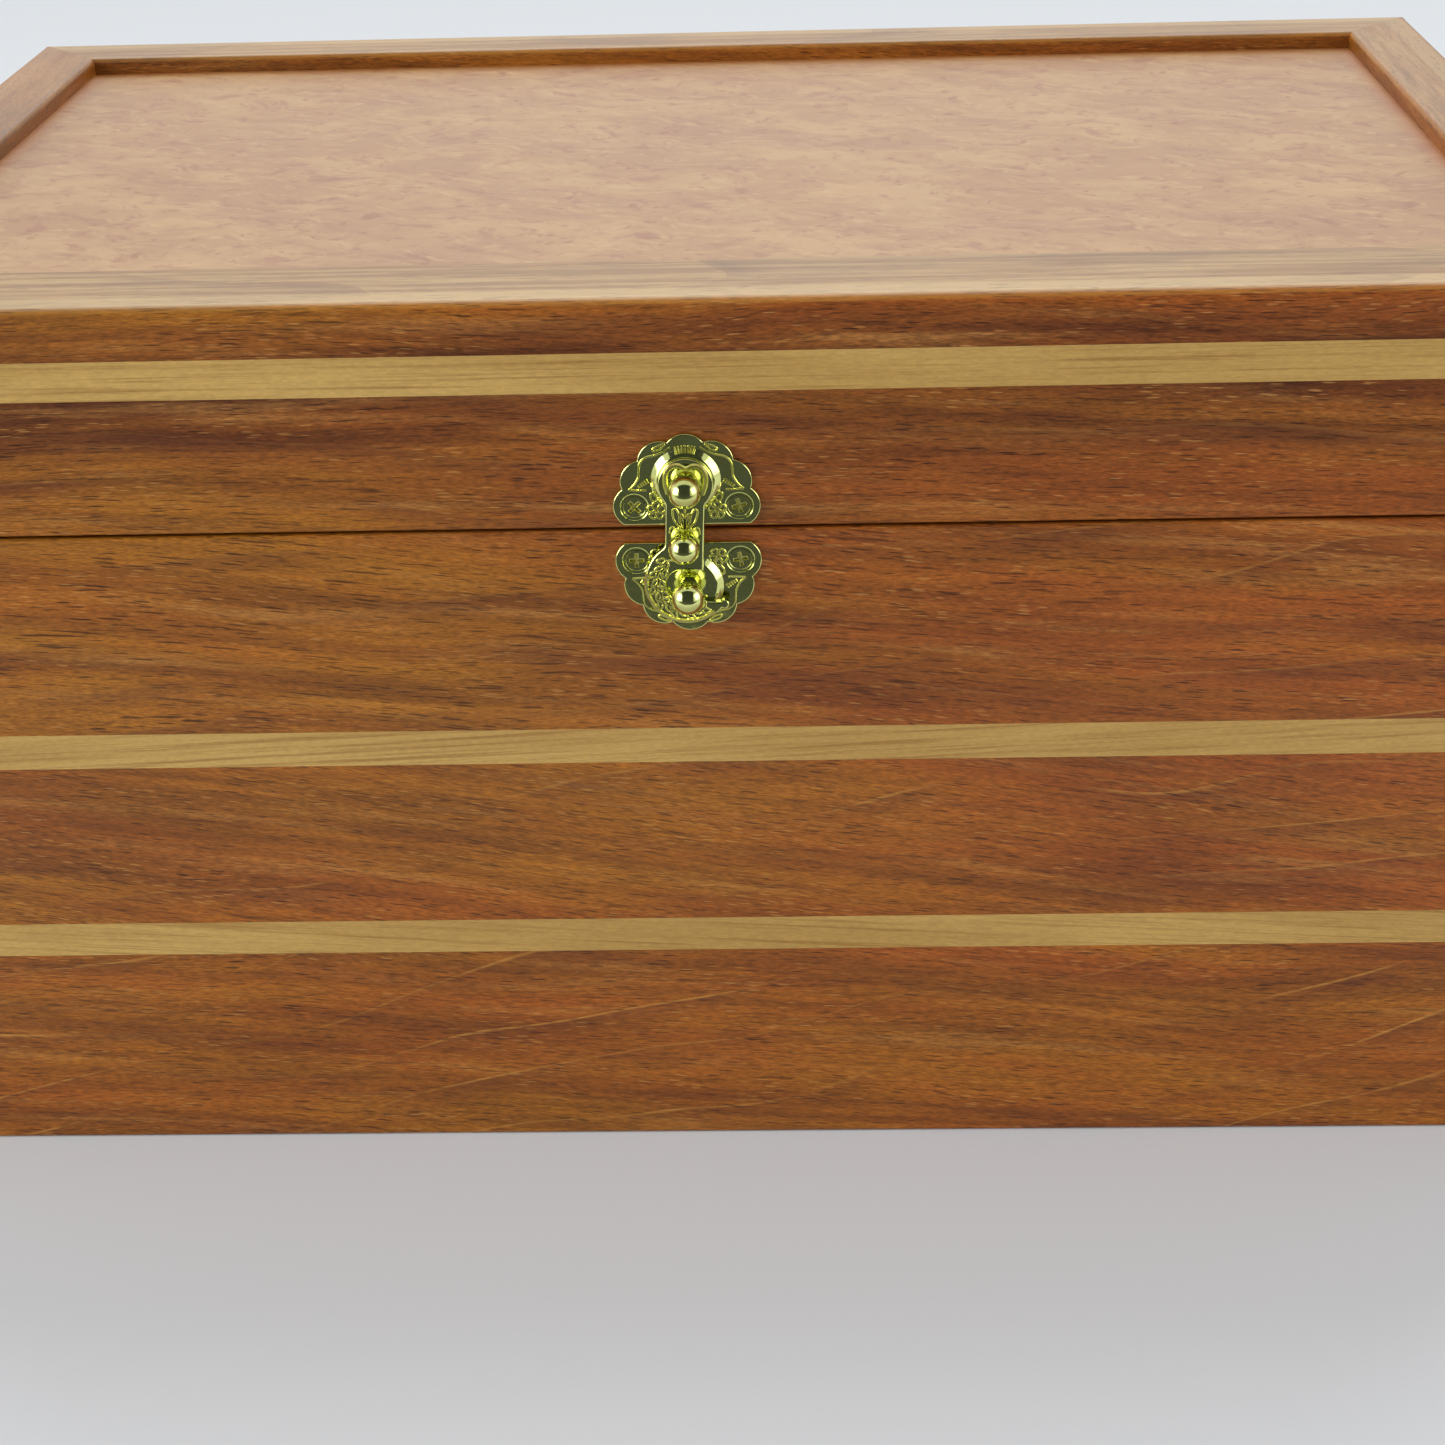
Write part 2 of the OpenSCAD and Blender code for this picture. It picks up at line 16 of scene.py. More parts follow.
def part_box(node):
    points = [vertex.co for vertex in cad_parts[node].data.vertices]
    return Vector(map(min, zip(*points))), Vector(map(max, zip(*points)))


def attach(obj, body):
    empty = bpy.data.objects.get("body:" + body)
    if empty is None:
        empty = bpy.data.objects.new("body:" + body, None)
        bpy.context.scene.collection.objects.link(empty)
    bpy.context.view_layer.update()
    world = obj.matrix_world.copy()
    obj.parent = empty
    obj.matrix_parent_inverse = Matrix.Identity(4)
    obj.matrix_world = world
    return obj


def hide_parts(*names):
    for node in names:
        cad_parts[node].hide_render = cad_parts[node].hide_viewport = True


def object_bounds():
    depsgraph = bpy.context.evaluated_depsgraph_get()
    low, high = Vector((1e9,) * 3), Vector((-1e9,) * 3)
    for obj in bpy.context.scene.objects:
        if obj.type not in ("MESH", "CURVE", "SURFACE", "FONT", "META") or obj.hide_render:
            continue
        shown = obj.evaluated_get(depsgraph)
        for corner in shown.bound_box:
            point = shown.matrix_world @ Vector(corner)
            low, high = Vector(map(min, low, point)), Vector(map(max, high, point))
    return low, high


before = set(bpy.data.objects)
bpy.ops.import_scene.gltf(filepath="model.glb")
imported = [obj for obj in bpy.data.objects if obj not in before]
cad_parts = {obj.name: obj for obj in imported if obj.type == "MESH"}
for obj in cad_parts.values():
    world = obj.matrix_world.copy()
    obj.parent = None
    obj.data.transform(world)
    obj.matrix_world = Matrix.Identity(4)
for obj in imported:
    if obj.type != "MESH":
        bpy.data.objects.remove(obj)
cad_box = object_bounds()
MM = 0.001
box_low, box_high = (Vector(corner) for corner in cad_box)
print("solids:", len(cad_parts), "size in mm:", (box_high - box_low) / MM)

# %% [markdown]
# ## Measures
#
# A maker reads sizes off the work before cutting. Only the small roundings are written
# down here, because a box can't tell them.

# %% Read the sizes off the solids
SIDES = ("front", "right", "back", "left")
BOX_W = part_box("right_lower_board")[1].x * 2
BOX_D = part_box("back_lower_board")[1].y * 2
WALL_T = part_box("front_upper_board")[1].y + BOX_D / 2
LID_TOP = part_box("lid_front_top_board")[1].z
CORNER_R, SEAM_EDGE_R, BASE_EDGE_R = 3 * MM, 0.8 * MM, 0.8 * MM
LID_OUTER_R, LID_INNER_R = 3 * MM, 1.6 * MM


def levels(node):
    """The heights between which a solid lies."""
    low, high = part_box(node)
    return low.z, high.z


print(f"box {BOX_W / MM:.0f} x {BOX_D / MM:.0f} x {LID_TOP / MM:.1f} mm, walls {WALL_T / MM:.1f} mm")

# %% [markdown]
# ## From solid board to mitred wall
#
# A real board is planed to size, its edges are rounded, and its ends are cut at 45 degrees.
# It could be drawn as a finished outline, but cutting it as at the bench is shorter: a block
# is made, its long edges are bevelled, and bisect_plane saws the mitres. bisect_plane leaves
# an open cut, so holes_fill closes it. Each wall is made in its own frame, with its outer face
# on the X axis, and is turned to its side at the end.

# %% Saw and plane
EVEN = 0.5
# In metres: this near to a plane counts as on it, and this near to a place as there
ON_PLANE, TOUCHING = 1e-7, 1e-6


def everything(mesh):
    return mesh.verts[:] + mesh.edges[:] + mesh.faces[:]


def saw(mesh, point, towards):
    """Cuts off what lies beyond a plane, and closes the cut."""
    cut = bmesh.ops.bisect_plane(
        mesh, geom=everything(mesh), dist=ON_PLANE, plane_co=point, plane_no=towards, clear_outer=True
    )
    rim = [part for part in cut["geom_cut"] if isinstance(part, bmesh.types.BMEdge)]
    bmesh.ops.holes_fill(mesh, edges=rim, sides=0)


def score(mesh, point, towards):
    """Draws a line round the mesh without taking anything off."""
    bmesh.ops.bisect_plane(mesh, geom=everything(mesh), dist=ON_PLANE, plane_co=point, plane_no=towards)


def round_edges(mesh, edges, radius, segments=5):
    bmesh.ops.bevel(
        mesh, geom=edges, offset=radius, offset_type="OFFSET", segments=segments,
        profile=EVEN, affect="EDGES", material=-1,
    )


def long_edge(mesh, y, z):
    """The edge that runs the whole length of a block at a given depth and height."""
    def there(vert):
        return abs(vert.co.y - y) < TOUCHING and abs(vert.co.z - z) < TOUCHING

    return [edge for edge in mesh.edges if all(there(vert) for vert in edge.verts)]


offcut = bmesh.new()
bmesh.ops.create_cube(offcut, size=WALL_T)
round_edges(offcut, long_edge(offcut, -WALL_T / 2, WALL_T / 2), CORNER_R)
saw(offcut, Vector((0, 0, 0)), Vector((1, 1, 0)))
print("an offcut, rounded and mitred, has", len(offcut.faces), "faces")
offcut.free()

# %% [markdown]
# ## The upright corners
#
# The box's four upright corners are rounded after glue-up, so half of each rounding lies on
# either wall. A bevel can't round a mitre's sharp tip, but a block plane can: a few strokes,
# each turned a little further, leave flats that smooth shading blends into one curve.

# %% Round the tips with a few strokes of the plane
STROKES = 12


def plane_tips(mesh, half_length):
    """Rounds off the sharp tips at both ends of a board's outer face."""
    for end in (-1, 1):
        centre = Vector((end * (half_length - CORNER_R), CORNER_R, 0))
        for stroke in range(STROKES):
            angle = math.radians(90) * (stroke + EVEN) / STROKES
            away = Vector((end * math.sin(angle), -math.cos(angle), 0))
            saw(mesh, centre + away * CORNER_R, away)


def blank(half_length, low, high, width, left, right, rounded):
    """A board with rounded long edges, its ends mitred to boards of the widths left and right.

    rounded is a list of (depth, height, radius).
    """
    mesh = bmesh.new()
    middle = Vector((0, width / 2, (low + high) / 2))
    size = Matrix.Diagonal((2 * half_length, width, high - low, 1))
    bmesh.ops.create_cube(mesh, size=1, matrix=Matrix.Translation(middle) @ size)
    for depth, height, radius in rounded:
        round_edges(mesh, long_edge(mesh, depth, height), radius)
    saw(mesh, Vector((-half_length, 0, 0)), Vector((-width, left, 0)))
    saw(mesh, Vector((half_length, 0, 0)), Vector((width, right, 0)))
    plane_tips(mesh, half_length)
    return mesh


trial = blank(BOX_W / 2, 0, WALL_T, WALL_T, WALL_T, WALL_T, [(0, WALL_T, LID_OUTER_R)])
print("a trial board with planed tips has", len(trial.faces), "faces")

# %% [markdown]
# ## Grooves, rebates and hinge pockets
#
# The panels sit in grooves and the hinge leaves in shallow pockets. A boolean would cut them,
# but it leaves long thin triangles that catch the light. Scoring the faces first and taking
# out the ones inside the cut keeps every face flat. bridge_loops then lines the groove, from
# the open edges at one end to those at the other.

# %% Cut a groove along the inner face
def inside(low, high):
    """Picks the faces whose middle lies in a box."""
    def test(face):
        middle = face.calc_center_median()
        return all(low[i] - TOUCHING < middle[i] < high[i] + TOUCHING for i in range(3))

    return test


def groove(mesh, half_length, width, depth, low, high):
    """A groove from end to end, between two heights of the inner face."""
    wall = width - depth
    score(mesh, Vector((0, wall, 0)), Vector((0, 1, 0)))
    for height in (low, high):
        score(mesh, Vector((0, 0, height)), Vector((0, 0, 1)))
    taken = inside((-half_length, wall, low), (half_length, width, high))
    gone = [face for face in mesh.faces if taken(face)]
    bmesh.ops.delete(mesh, geom=gone, context="FACES")
    open_ends = [
        edge for edge in mesh.edges
        if edge.is_boundary and abs(edge.verts[0].co.x - edge.verts[1].co.x) < width
    ]
    bmesh.ops.bridge_loops(mesh, edges=open_ends)


def open_edges(mesh):
    return [edge for edge in mesh.edges if edge.is_boundary]


groove(trial, BOX_W / 2, WALL_T, WALL_T / 3, WALL_T / 3, WALL_T / 2)
print("open edges after cutting a groove:", len(open_edges(trial)))

# %% [markdown]
# A pocket stops short of the board's ends, so its lining is built edge by edge: the edge at
# its back is extruded down to the floor, bridge_loops lays the floor, and holes_fill closes
# its two sides.

# %% Cut a pocket for a hinge leaf
def pocket(mesh, left, right, back, floor, seam):
    """A pocket from the outer face inwards to back, between its floor and the face at the seam."""
    for x in (left, right):
        score(mesh, Vector((x, 0, 0)), Vector((1, 0, 0)))
    score(mesh, Vector((0, back, 0)), Vector((0, 1, 0)))
    score(mesh, Vector((0, 0, floor)), Vector((0, 0, 1)))
    taken = inside((left, 0, min(floor, seam)), (right, back, max(floor, seam)))
    bmesh.ops.delete(mesh, geom=[face for face in mesh.faces if taken(face)], context="FACES")

    def between(edge):
        return all(left - TOUCHING < vert.co.x < right + TOUCHING for vert in edge.verts)

    top = [edge for edge in long_edge(mesh, back, seam) if between(edge)]
    lining = bmesh.ops.extrude_edge_only(mesh, edges=top)["geom"]
    corners = [part for part in lining if isinstance(part, bmesh.types.BMVert)]
    bmesh.ops.translate(mesh, verts=corners, vec=(0, 0, floor - seam))
    inner = [edge for edge in long_edge(mesh, back, floor) if between(edge)]
    outer = [edge for edge in long_edge(mesh, 0, floor) if between(edge)]
    bmesh.ops.bridge_loops(mesh, edges=inner + outer)
    bmesh.ops.holes_fill(mesh, edges=open_edges(mesh), sides=0)


pocket(trial, -WALL_T, WALL_T, WALL_T / 2, WALL_T / 10, 0)
print("open edges after cutting a pocket as well:", len(open_edges(trial)))
trial.free()

# %% [markdown]
# ## How the grain knows which board it is on
#
# Wood pattern runs along a board, so one pattern on the object's coordinates would run the
# wrong way on half of the walls and pass from board to board without a break. Each board
# therefore carries its own coordinates as an attribute: along the fibre, across it, and into
# the wood, in millimetres. Fibre and yearly rings don't lie quite the same way, so a second
# attribute holds the rings' coordinates. Plain numbers say how red the board is, how dark, how
# open its pores and how clear its rings, each from one edge of the board to the other. Two more
# say how much painted sheen lies near its top, and how far in from its outer face a point lies.

# %% Give a board its fibre, its rings and its painted sheen
def leaning(point, degrees, start):
    """A point of a board, in mm, in coordinates that lean up to the right by some degrees."""
    lean = math.radians(degrees)
    along = point.x * math.cos(lean) + point.z * math.sin(lean)
    across = point.z * math.cos(lean) - point.x * math.sin(lean)
    return along / MM + start[0], across / MM + start[1], point.y / MM + start[2]


# How far down from a board's top the painted sheen reaches, and how steeply it falls off
SHEEN_DEPTH, SHEEN_CURVE = 2.4 * MM, 1.6


def write_grain(data, own_points, cut):
    """Writes the attributes of one cut board into its mesh, for the material to read."""
    for name, lean in (("fibre", cut["fibre"]), ("rings", cut["rings"])):
        attribute = data.attributes.new(name, "FLOAT_VECTOR", "POINT")
        for item, point in zip(attribute.data, own_points):
            item.vector = leaning(point, lean, cut["start"])
    # Darkening runs from a board's lower edge to its upper, and the rest from its left end to its right
    for name, axis in (("tone", 0), ("shade", 2), ("pores", 0), ("ringed", 0)):
        attribute = data.attributes.new(name, "FLOAT", "POINT")
        low, high = (pick(point[axis] for point in own_points) for pick in (min, max))
        first, last = cut[name]
        for item, point in zip(attribute.data, own_points):
            item.value = first + (last - first) * (point[axis] - low) / (high - low)
    # Painted sheen lies on a face that looks up, and less and less over the roundings at its edges
    painted_sheen = data.attributes.new("painted_sheen", "FLOAT", "POINT")
    inward = data.attributes.new("inward", "FLOAT", "POINT")
    top = max(point.z for point in own_points)
    for i, point in enumerate(own_points):
        sheen_share = max(0, 1 - (top - point.z) / SHEEN_DEPTH) ** SHEEN_CURVE
        painted_sheen.data[i].value = cut["painted_sheen"] * sheen_share
        inward.data[i].value = point.y / MM


tip = leaning(Vector((100 * MM, 0, 0)), -5, (0, 0, 0))
print("after 100 mm, fibre that leans by -5 degrees is off by", round(tip[1], 1), "mm")

# %% [markdown]
# ## Finishing a piece
#
# Faces that meet at a shallow angle shade as one curve, and steeper edges stay crisp. The
# Weighted Normal modifier lets the broad faces decide how light falls at their rounded
# edges, which keeps them flat to the eye, as planed wood is.

# %% Turn a mesh into a piece that rides on its body
CRISP_ANGLE = math.radians(32)


def into_scene(name, data):
    item = bpy.data.objects.new(name, data)
    bpy.context.scene.collection.objects.link(item)
    return item


def finish_piece(mesh, name, body, nodes, material, place=None, cut=None, merge=TOUCHING):
    """Makes a piece that rides on a body, stands for some nodes and has a material."""
    bmesh.ops.remove_doubles(mesh, verts=mesh.verts, dist=merge)
    bmesh.ops.recalc_face_normals(mesh, faces=mesh.faces)
    own_points = [vert.co.copy() for vert in mesh.verts]
    if place is not None:
        bmesh.ops.transform(mesh, matrix=place, verts=mesh.verts)
    for face in mesh.faces:
        face.smooth = True
    for edge in mesh.edges:
        edge.smooth = edge.calc_face_angle(math.pi) < CRISP_ANGLE
    data = bpy.data.meshes.new(name)
    mesh.to_mesh(data)
    mesh.free()
    if cut:
        write_grain(data, own_points, cut)
    data.materials.append(material)
    piece = into_scene(name, data)
    piece.modifiers.new("flat faces", "WEIGHTED_NORMAL").keep_sharp = True
    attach(piece, body)
    if nodes:
        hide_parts(*nodes)
    return piece


print("edges stay crisp above", round(math.degrees(CRISP_ANGLE)), "degrees")

# %% [markdown]
# ## Building materials from nodes
#
# Colours are written as a paint chip would give them, in sRGB hex, and one function turns
# them to the linear values that the renderer works in. Another function adds a node, sets its
# values and links its inputs, and gives back the output that the next node needs.

# %% Helpers for every material
def linear(chip):
    """The linear colour of an sRGB hex value such as "#8c5229"."""
    parts = [int(chip[i : i + 2], 16) / 255 for i in (1, 3, 5)]
    return [c / 12.92 if c <= 0.04045 else ((c + 0.055) / 1.055) ** 2.4 for c in parts] + [1]


def add(material, kind, settings, out=0):
    """Adds a node and returns its output out. A setting is a link, an input's value or a property."""
    node = material.node_tree.nodes.new("ShaderNode" + kind)
    for name, value in settings.items():
        if isinstance(value, bpy.types.NodeSocket):
            material.node_tree.links.new(value, node.inputs[name])
        elif isinstance(name, int) or name in node.inputs:
            node.inputs[name].default_value = value
        else:
            setattr(node, name, value)
    return node.outputs[out]


def new_material(name, **shader):
    """A material with one Principled shader, whose plain values are set here."""
    material = bpy.data.materials.new(name)
    material.use_nodes = True
    principled = material.node_tree.nodes["Principled BSDF"]
    for socket, value in shader.items():
        principled.inputs[socket.replace("_", " ")].default_value = value
    return material


def feed(material, socket, source):
    """Links an output to one of the Principled shader's inputs."""
    principled = material.node_tree.nodes["Principled BSDF"]
    material.node_tree.links.new(source, principled.inputs[socket])


# A Mix node keeps its inputs for colours at these places
COLOURS, MIX, FIRST, SECOND, MIXED = {"data_type": "RGBA"}, 0, 6, 7, 2
print("honey maple in linear light:", [round(value, 3) for value in linear("#b3904e")])

# %% [markdown]
# ## Figure drawn out along the board
#
# Tree cells are long and thin, so nearly every mark on a board is a noise stretched along the
# fibre. One helper places noise by the real size of its marks in millimetres and cuts it
# between two levels. A second one draws the pores, the short dark dashes where a vessel meets
# the surface: Voronoi cells, drawn out in the same way, and dark near their middles. A third
# lays a colour over the ground where such a mask is, as stain is wiped over wood.

# %% Marks, pores and stains
def marks(material, source, size, low, high, shift=0, detail=3):
    """0 to 1, in patches of a size in mm. The cut rises from low to high."""
    placed = add(material, "Mapping", {
        "Vector": source, "Scale": [1 / length for length in size], "Location": (shift, shift, shift),
    })
    noise = add(material, "TexNoise", {
        "Vector": placed, "Scale": 1, "Detail": detail, "Roughness": 0.62,
    })
    return add(material, "MapRange", {
        "interpolation_type": "SMOOTHSTEP", "Value": noise, "From Min": low, "From Max": high,
    })


def dashes(material, source, size, fill, where, shift=0):
    """Dashes in cells of a size in mm. fill is their share of a cell's length, where a mask."""
    placed = add(material, "Mapping", {
        "Vector": source, "Scale": [1 / length for length in size], "Location": (shift, shift, shift),
    })
    distance = add(material, "TexVoronoi", {"Vector": placed, "Scale": 1}, out="Distance")
    dash = add(material, "MapRange", {"Value": distance, "From Min": fill / 2, "From Max": fill / 3})
    return add(material, "Math", {"operation": "MULTIPLY", 0: dash, 1: where})


def stain(material, ground, mask, strength, chip):
    """Lays a colour over the ground where a mask is. The strength is a number or a mask too."""
    amount = add(material, "Math", {"operation": "MULTIPLY", 0: mask, 1: strength})
    return add(material, "Mix", {
        **COLOURS, MIX: amount, FIRST: ground, SECOND: linear(chip),
    }, out=MIXED)


print("a dash in cells 12 mm long, with a fill of 0.5, is up to", 12 * 0.5, "mm long")

# %% [markdown]
# ## Jatoba under a satin finish
#
# Jatoba is a dense, orange-brown heartwood. The wood itself hardly shines, but a few coats of
# wiping varnish leave a soft sheen that shows at a low angle, so the varnish is a clear coat
# with the IOR of resin. Its layers are mixed in the cells below in the order in which the eye
# finds them. First the fibre: drawn straight it would look ruled, so a slow noise and a quick
# one lift it up and down along the board.

# %% Varnish, and a fibre that wanders
SATIN_VARNISH = {
    "Roughness": 0.5, "Specular_IOR_Level": 0.15, "IOR": 1.5,
    "Coat_Weight": 0.35, "Coat_Roughness": 0.28, "Coat_IOR": 1.5,
}
WANDER, WOBBLE = 7, 0.4

JATOBA = new_material("jatoba, planed and wiped with satin varnish", **SATIN_VARNISH)
straight, rings = (
    add(JATOBA, "Attribute", {"attribute_name": name}, out="Vector") for name in ("fibre", "rings")
)
tone, shade, open_pores, ringed, painted_sheen, inward = (
    add(JATOBA, "Attribute", {"attribute_name": name}, out="Fac")
    for name in ("tone", "shade", "pores", "ringed", "painted_sheen", "inward")
)
wander = marks(JATOBA, straight, (130, 30, 30), 0, 1, shift=7, detail=1)
lift = add(JATOBA, "Math", {"operation": "MULTIPLY_ADD", 0: wander, 1: WANDER, 2: -WANDER / 2})
wobble = marks(JATOBA, straight, (9, 2, 2), 0, 1, shift=13, detail=1)
lift = add(JATOBA, "Math", {"operation": "MULTIPLY_ADD", 0: wobble, 1: WOBBLE, 2: lift})
offset = add(JATOBA, "CombineXYZ", {"Y": lift})
fibre = add(JATOBA, "VectorMath", {"operation": "ADD", 0: straight, 1: offset})
print("the fibre wanders by up to", (WANDER + WOBBLE) / 2, "mm either way")

# %% [markdown]
# Golden and reddish patches run through the heartwood. Dark smoky bands and soft light ones
# follow the fibre, and over them lie streaks about 1 mm wide and the fibre's own fine lines.
# The board's own tone and shade are added to the patches and bands before these are cut at 1.

# %% Heartwood
CLAMPED_SUM = {"operation": "MULTIPLY_ADD", "use_clamp": True}
patch = marks(JATOBA, fibre, (120, 16, 16), 0.3, 0.7)
redness = add(JATOBA, "Math", {**CLAMPED_SUM, 0: patch, 1: 0.8, 2: tone})
ground = add(JATOBA, "Mix", {
    **COLOURS, MIX: redness, FIRST: linear("#a06418"), SECOND: linear("#985018"),
}, out=MIXED)
smoke = marks(JATOBA, fibre, (95, 6, 6), 0.36, 0.72, shift=31, detail=4)
smoke = add(JATOBA, "Math", {**CLAMPED_SUM, 0: smoke, 1: 0.55, 2: shade})
ground = stain(JATOBA, ground, smoke, 1, "#55290e")
glow = marks(JATOBA, fibre, (70, 4, 4), 0.52, 0.8, shift=57, detail=4)
ground = stain(JATOBA, ground, glow, 0.55, "#b07a3c")
for size, darkest, lightest, shift in (
    ((26, 0.9, 0.9), 0.84, 1.14, 3), ((1.8, 0.24, 0.24), 0.6, 1.4, 11),
):
    streak = marks(JATOBA, fibre, size, 0.25, 0.75, shift=shift, detail=4)
    light = add(JATOBA, "MapRange", {"Value": streak, "To Min": darkest, "To Max": lightest})
    ground = add(JATOBA, "VectorMath", {"operation": "SCALE", 0: ground, "Scale": light})
print("up to the heartwood:", len(JATOBA.node_tree.nodes), "nodes")

# %% [markdown]
# The lid's roundings are painted gold and its upper faces straw: painted sheen, as the varnish
# shines in the light. A band along the outer edge is the palest, a painted highlight. Gold has
# to go again where straw comes, so it is laid on through a rising range of the painted sheen
# and a falling one.

# %% Painted sheen and highlight on the lid's rails
# Painted gold sheen on the roundings
painted_gold = add(JATOBA, "MapRange", {"Value": painted_sheen, "From Min": 0.3, "From Max": 0.6, "To Max": 0.75})
spent = add(JATOBA, "MapRange", {
    "Value": painted_sheen, "From Min": 0.5, "From Max": 0.7, "To Min": 1, "To Max": 0.2,
})
ground = stain(JATOBA, ground, painted_gold, spent, "#b07a26")
# Painted straw sheen on the upper faces
straw = add(JATOBA, "Mix", {
    **COLOURS, MIX: marks(JATOBA, fibre, (90, 2, 2), 0.35, 0.65, shift=37),
    FIRST: linear("#967344"), SECOND: linear("#bfa06a"),
}, out=MIXED)
# A painted highlight along the outer edge of the rails
painted_edge_highlight = add(JATOBA, "MapRange", {"Value": inward, "From Min": 8, "From Max": 6.5})
straw = stain(JATOBA, straw, painted_edge_highlight, 0.9, "#cdb07a")
sheen_cover = add(JATOBA, "MapRange", {
    "Value": painted_sheen, "From Min": 0.62, "From Max": 0.98, "To Max": 0.75,
})
ground = add(JATOBA, "Mix", {**COLOURS, MIX: sheen_cover, FIRST: ground, SECOND: straw}, out=MIXED)
print("up to the painted sheen:", len(JATOBA.node_tree.nodes), "nodes")

# %% [markdown]
# The end of each year's growth shows as a thin pale line with a darker band below it, which
# leans across the board. A wave would draw only soft stripes. A saw of one tooth a year draws
# both: each tooth starts pale and falls away dark.

# %% Rings
YEAR, BEND = 13, 30
bend = marks(JATOBA, rings, (160, 60, 60), 0, 1, shift=19, detail=2)
height = add(JATOBA, "SeparateXYZ", {"Vector": rings}, out="Y")
bent = add(JATOBA, "Math", {"operation": "MULTIPLY_ADD", 0: bend, 1: -BEND, 2: height})
years = add(JATOBA, "Math", {"operation": "MULTIPLY", 0: bent, 1: -1 / YEAR})
tooth = add(JATOBA, "Math", {"operation": "FRACT", 0: years})
shown = marks(JATOBA, rings, (60, 20, 20), 0.4, 0.62, shift=43, detail=2)
band = add(JATOBA, "MapRange", {"Value": tooth, "From Min": 0.45, "From Max": 0.06, "To Max": 0.38})
ground = stain(JATOBA, ground, band, shown, "#5a2f1a")
line = add(JATOBA, "MapRange", {"Value": tooth, "From Min": 0.05, "From Max": 0.015})
broken = marks(JATOBA, fibre, (7, 0.9, 0.9), 0.2, 0.6, shift=61)
for mask in (shown, broken):
    line = add(JATOBA, "Math", {"operation": "MULTIPLY", 0: line, 1: mask})
ground = stain(JATOBA, ground, line, ringed, "#c2883c")
print("rings lie", YEAR, "mm apart and bend by up to", BEND, "mm")

# %% [markdown]
# Pores lie over everything else, so they come last. They come in drifts, some short and some
# long, with fine ones everywhere, and a few are filled with pale gum. The varnish sinks a
# little into the open ones, which a bump shows well enough at this size.

# %% Pores
drift = marks(JATOBA, fibre, (45, 12, 12), 0.3, 0.55, shift=71, detail=2)
drift = add(JATOBA, "Math", {"operation": "MULTIPLY", 0: drift, 1: open_pores})
everywhere = marks(JATOBA, fibre, (16, 3, 3), 0.3, 0.6, shift=77, detail=2)
pores = dashes(JATOBA, fibre, (12, 0.8, 0.8), 0.5, drift)
for size, fill, where, shift in (
    ((24, 0.9, 0.9), 0.44, drift, 23), ((8, 0.5, 0.5), 0.52, everywhere, 45),
):
    more = dashes(JATOBA, fibre, size, fill, where, shift)
    pores = add(JATOBA, "Math", {"operation": "MAXIMUM", 0: pores, 1: more})
# Pores show less dark under the painted sheen
dark = add(JATOBA, "MapRange", {"Value": painted_sheen, "To Min": 0.85, "To Max": 0.45})
ground = stain(JATOBA, ground, pores, dark, "#2e1406")
gum = marks(JATOBA, fibre, (40, 7, 7), 0.42, 0.6, shift=83, detail=2)
gum = dashes(JATOBA, fibre, (6, 0.6, 0.6), 0.5, gum, shift=91)
feed(JATOBA, "Base Color", stain(JATOBA, ground, gum, 0.42, "#c68f4c"))
sunk = add(JATOBA, "Bump", {
    "invert": True, "Strength": 0.35, "Distance": 0.05 * MM, "Height": pores,
})
feed(JATOBA, "Normal", sunk)
print(JATOBA.name, "has", len(JATOBA.node_tree.nodes), "nodes")

# %% [markdown]
# ## Maple stripes
#
# Maple is pale and close-grained, and under the same varnish it turns to honey. Its marks are
# faint brown lines along the board and tiny flecks, so a few noises and one colour range will do.

# %% Maple
MAPLE = new_material("maple, planed and wiped with satin varnish", **SATIN_VARNISH)
fibre = add(MAPLE, "Attribute", {"attribute_name": "fibre"}, out="Vector")
ground = add(MAPLE, "Mix", {
    **COLOURS, MIX: marks(MAPLE, fibre, (90, 9, 9), 0.3, 0.7),
    FIRST: linear("#ab8747"), SECOND: linear("#bb9855"),
}, out=MIXED)
for size, strength, shift in (((60, 1, 1), 0.75, 5), ((35, 0.45, 0.45), 0.6, 15)):
    lines = marks(MAPLE, fibre, size, 0.5, 0.72, shift)
    ground = stain(MAPLE, ground, lines, strength, "#8f662e")
fleck = marks(MAPLE, fibre, (1.6, 0.35, 0.35), 0.3, 0.7, shift=9)
light = add(MAPLE, "MapRange", {"Value": fleck, "To Min": 0.92, "To Max": 1.12})
ground = add(MAPLE, "VectorMath", {"operation": "SCALE", 0: ground, "Scale": light})
feed(MAPLE, "Base Color", ground)
print(MAPLE.name, "has", len(MAPLE.node_tree.nodes), "nodes")

# %% [markdown]
# ## Choosing the cuts
#
# A maker picks the front boards, so their lean and tone are given one by one. The rest are cut
# from here and there in the plank, which a seeded random generator stands for. The fibre and
# the rings lean by so many degrees, and each pair runs from one edge of the board to the other.

# %% Where each board comes from
import random

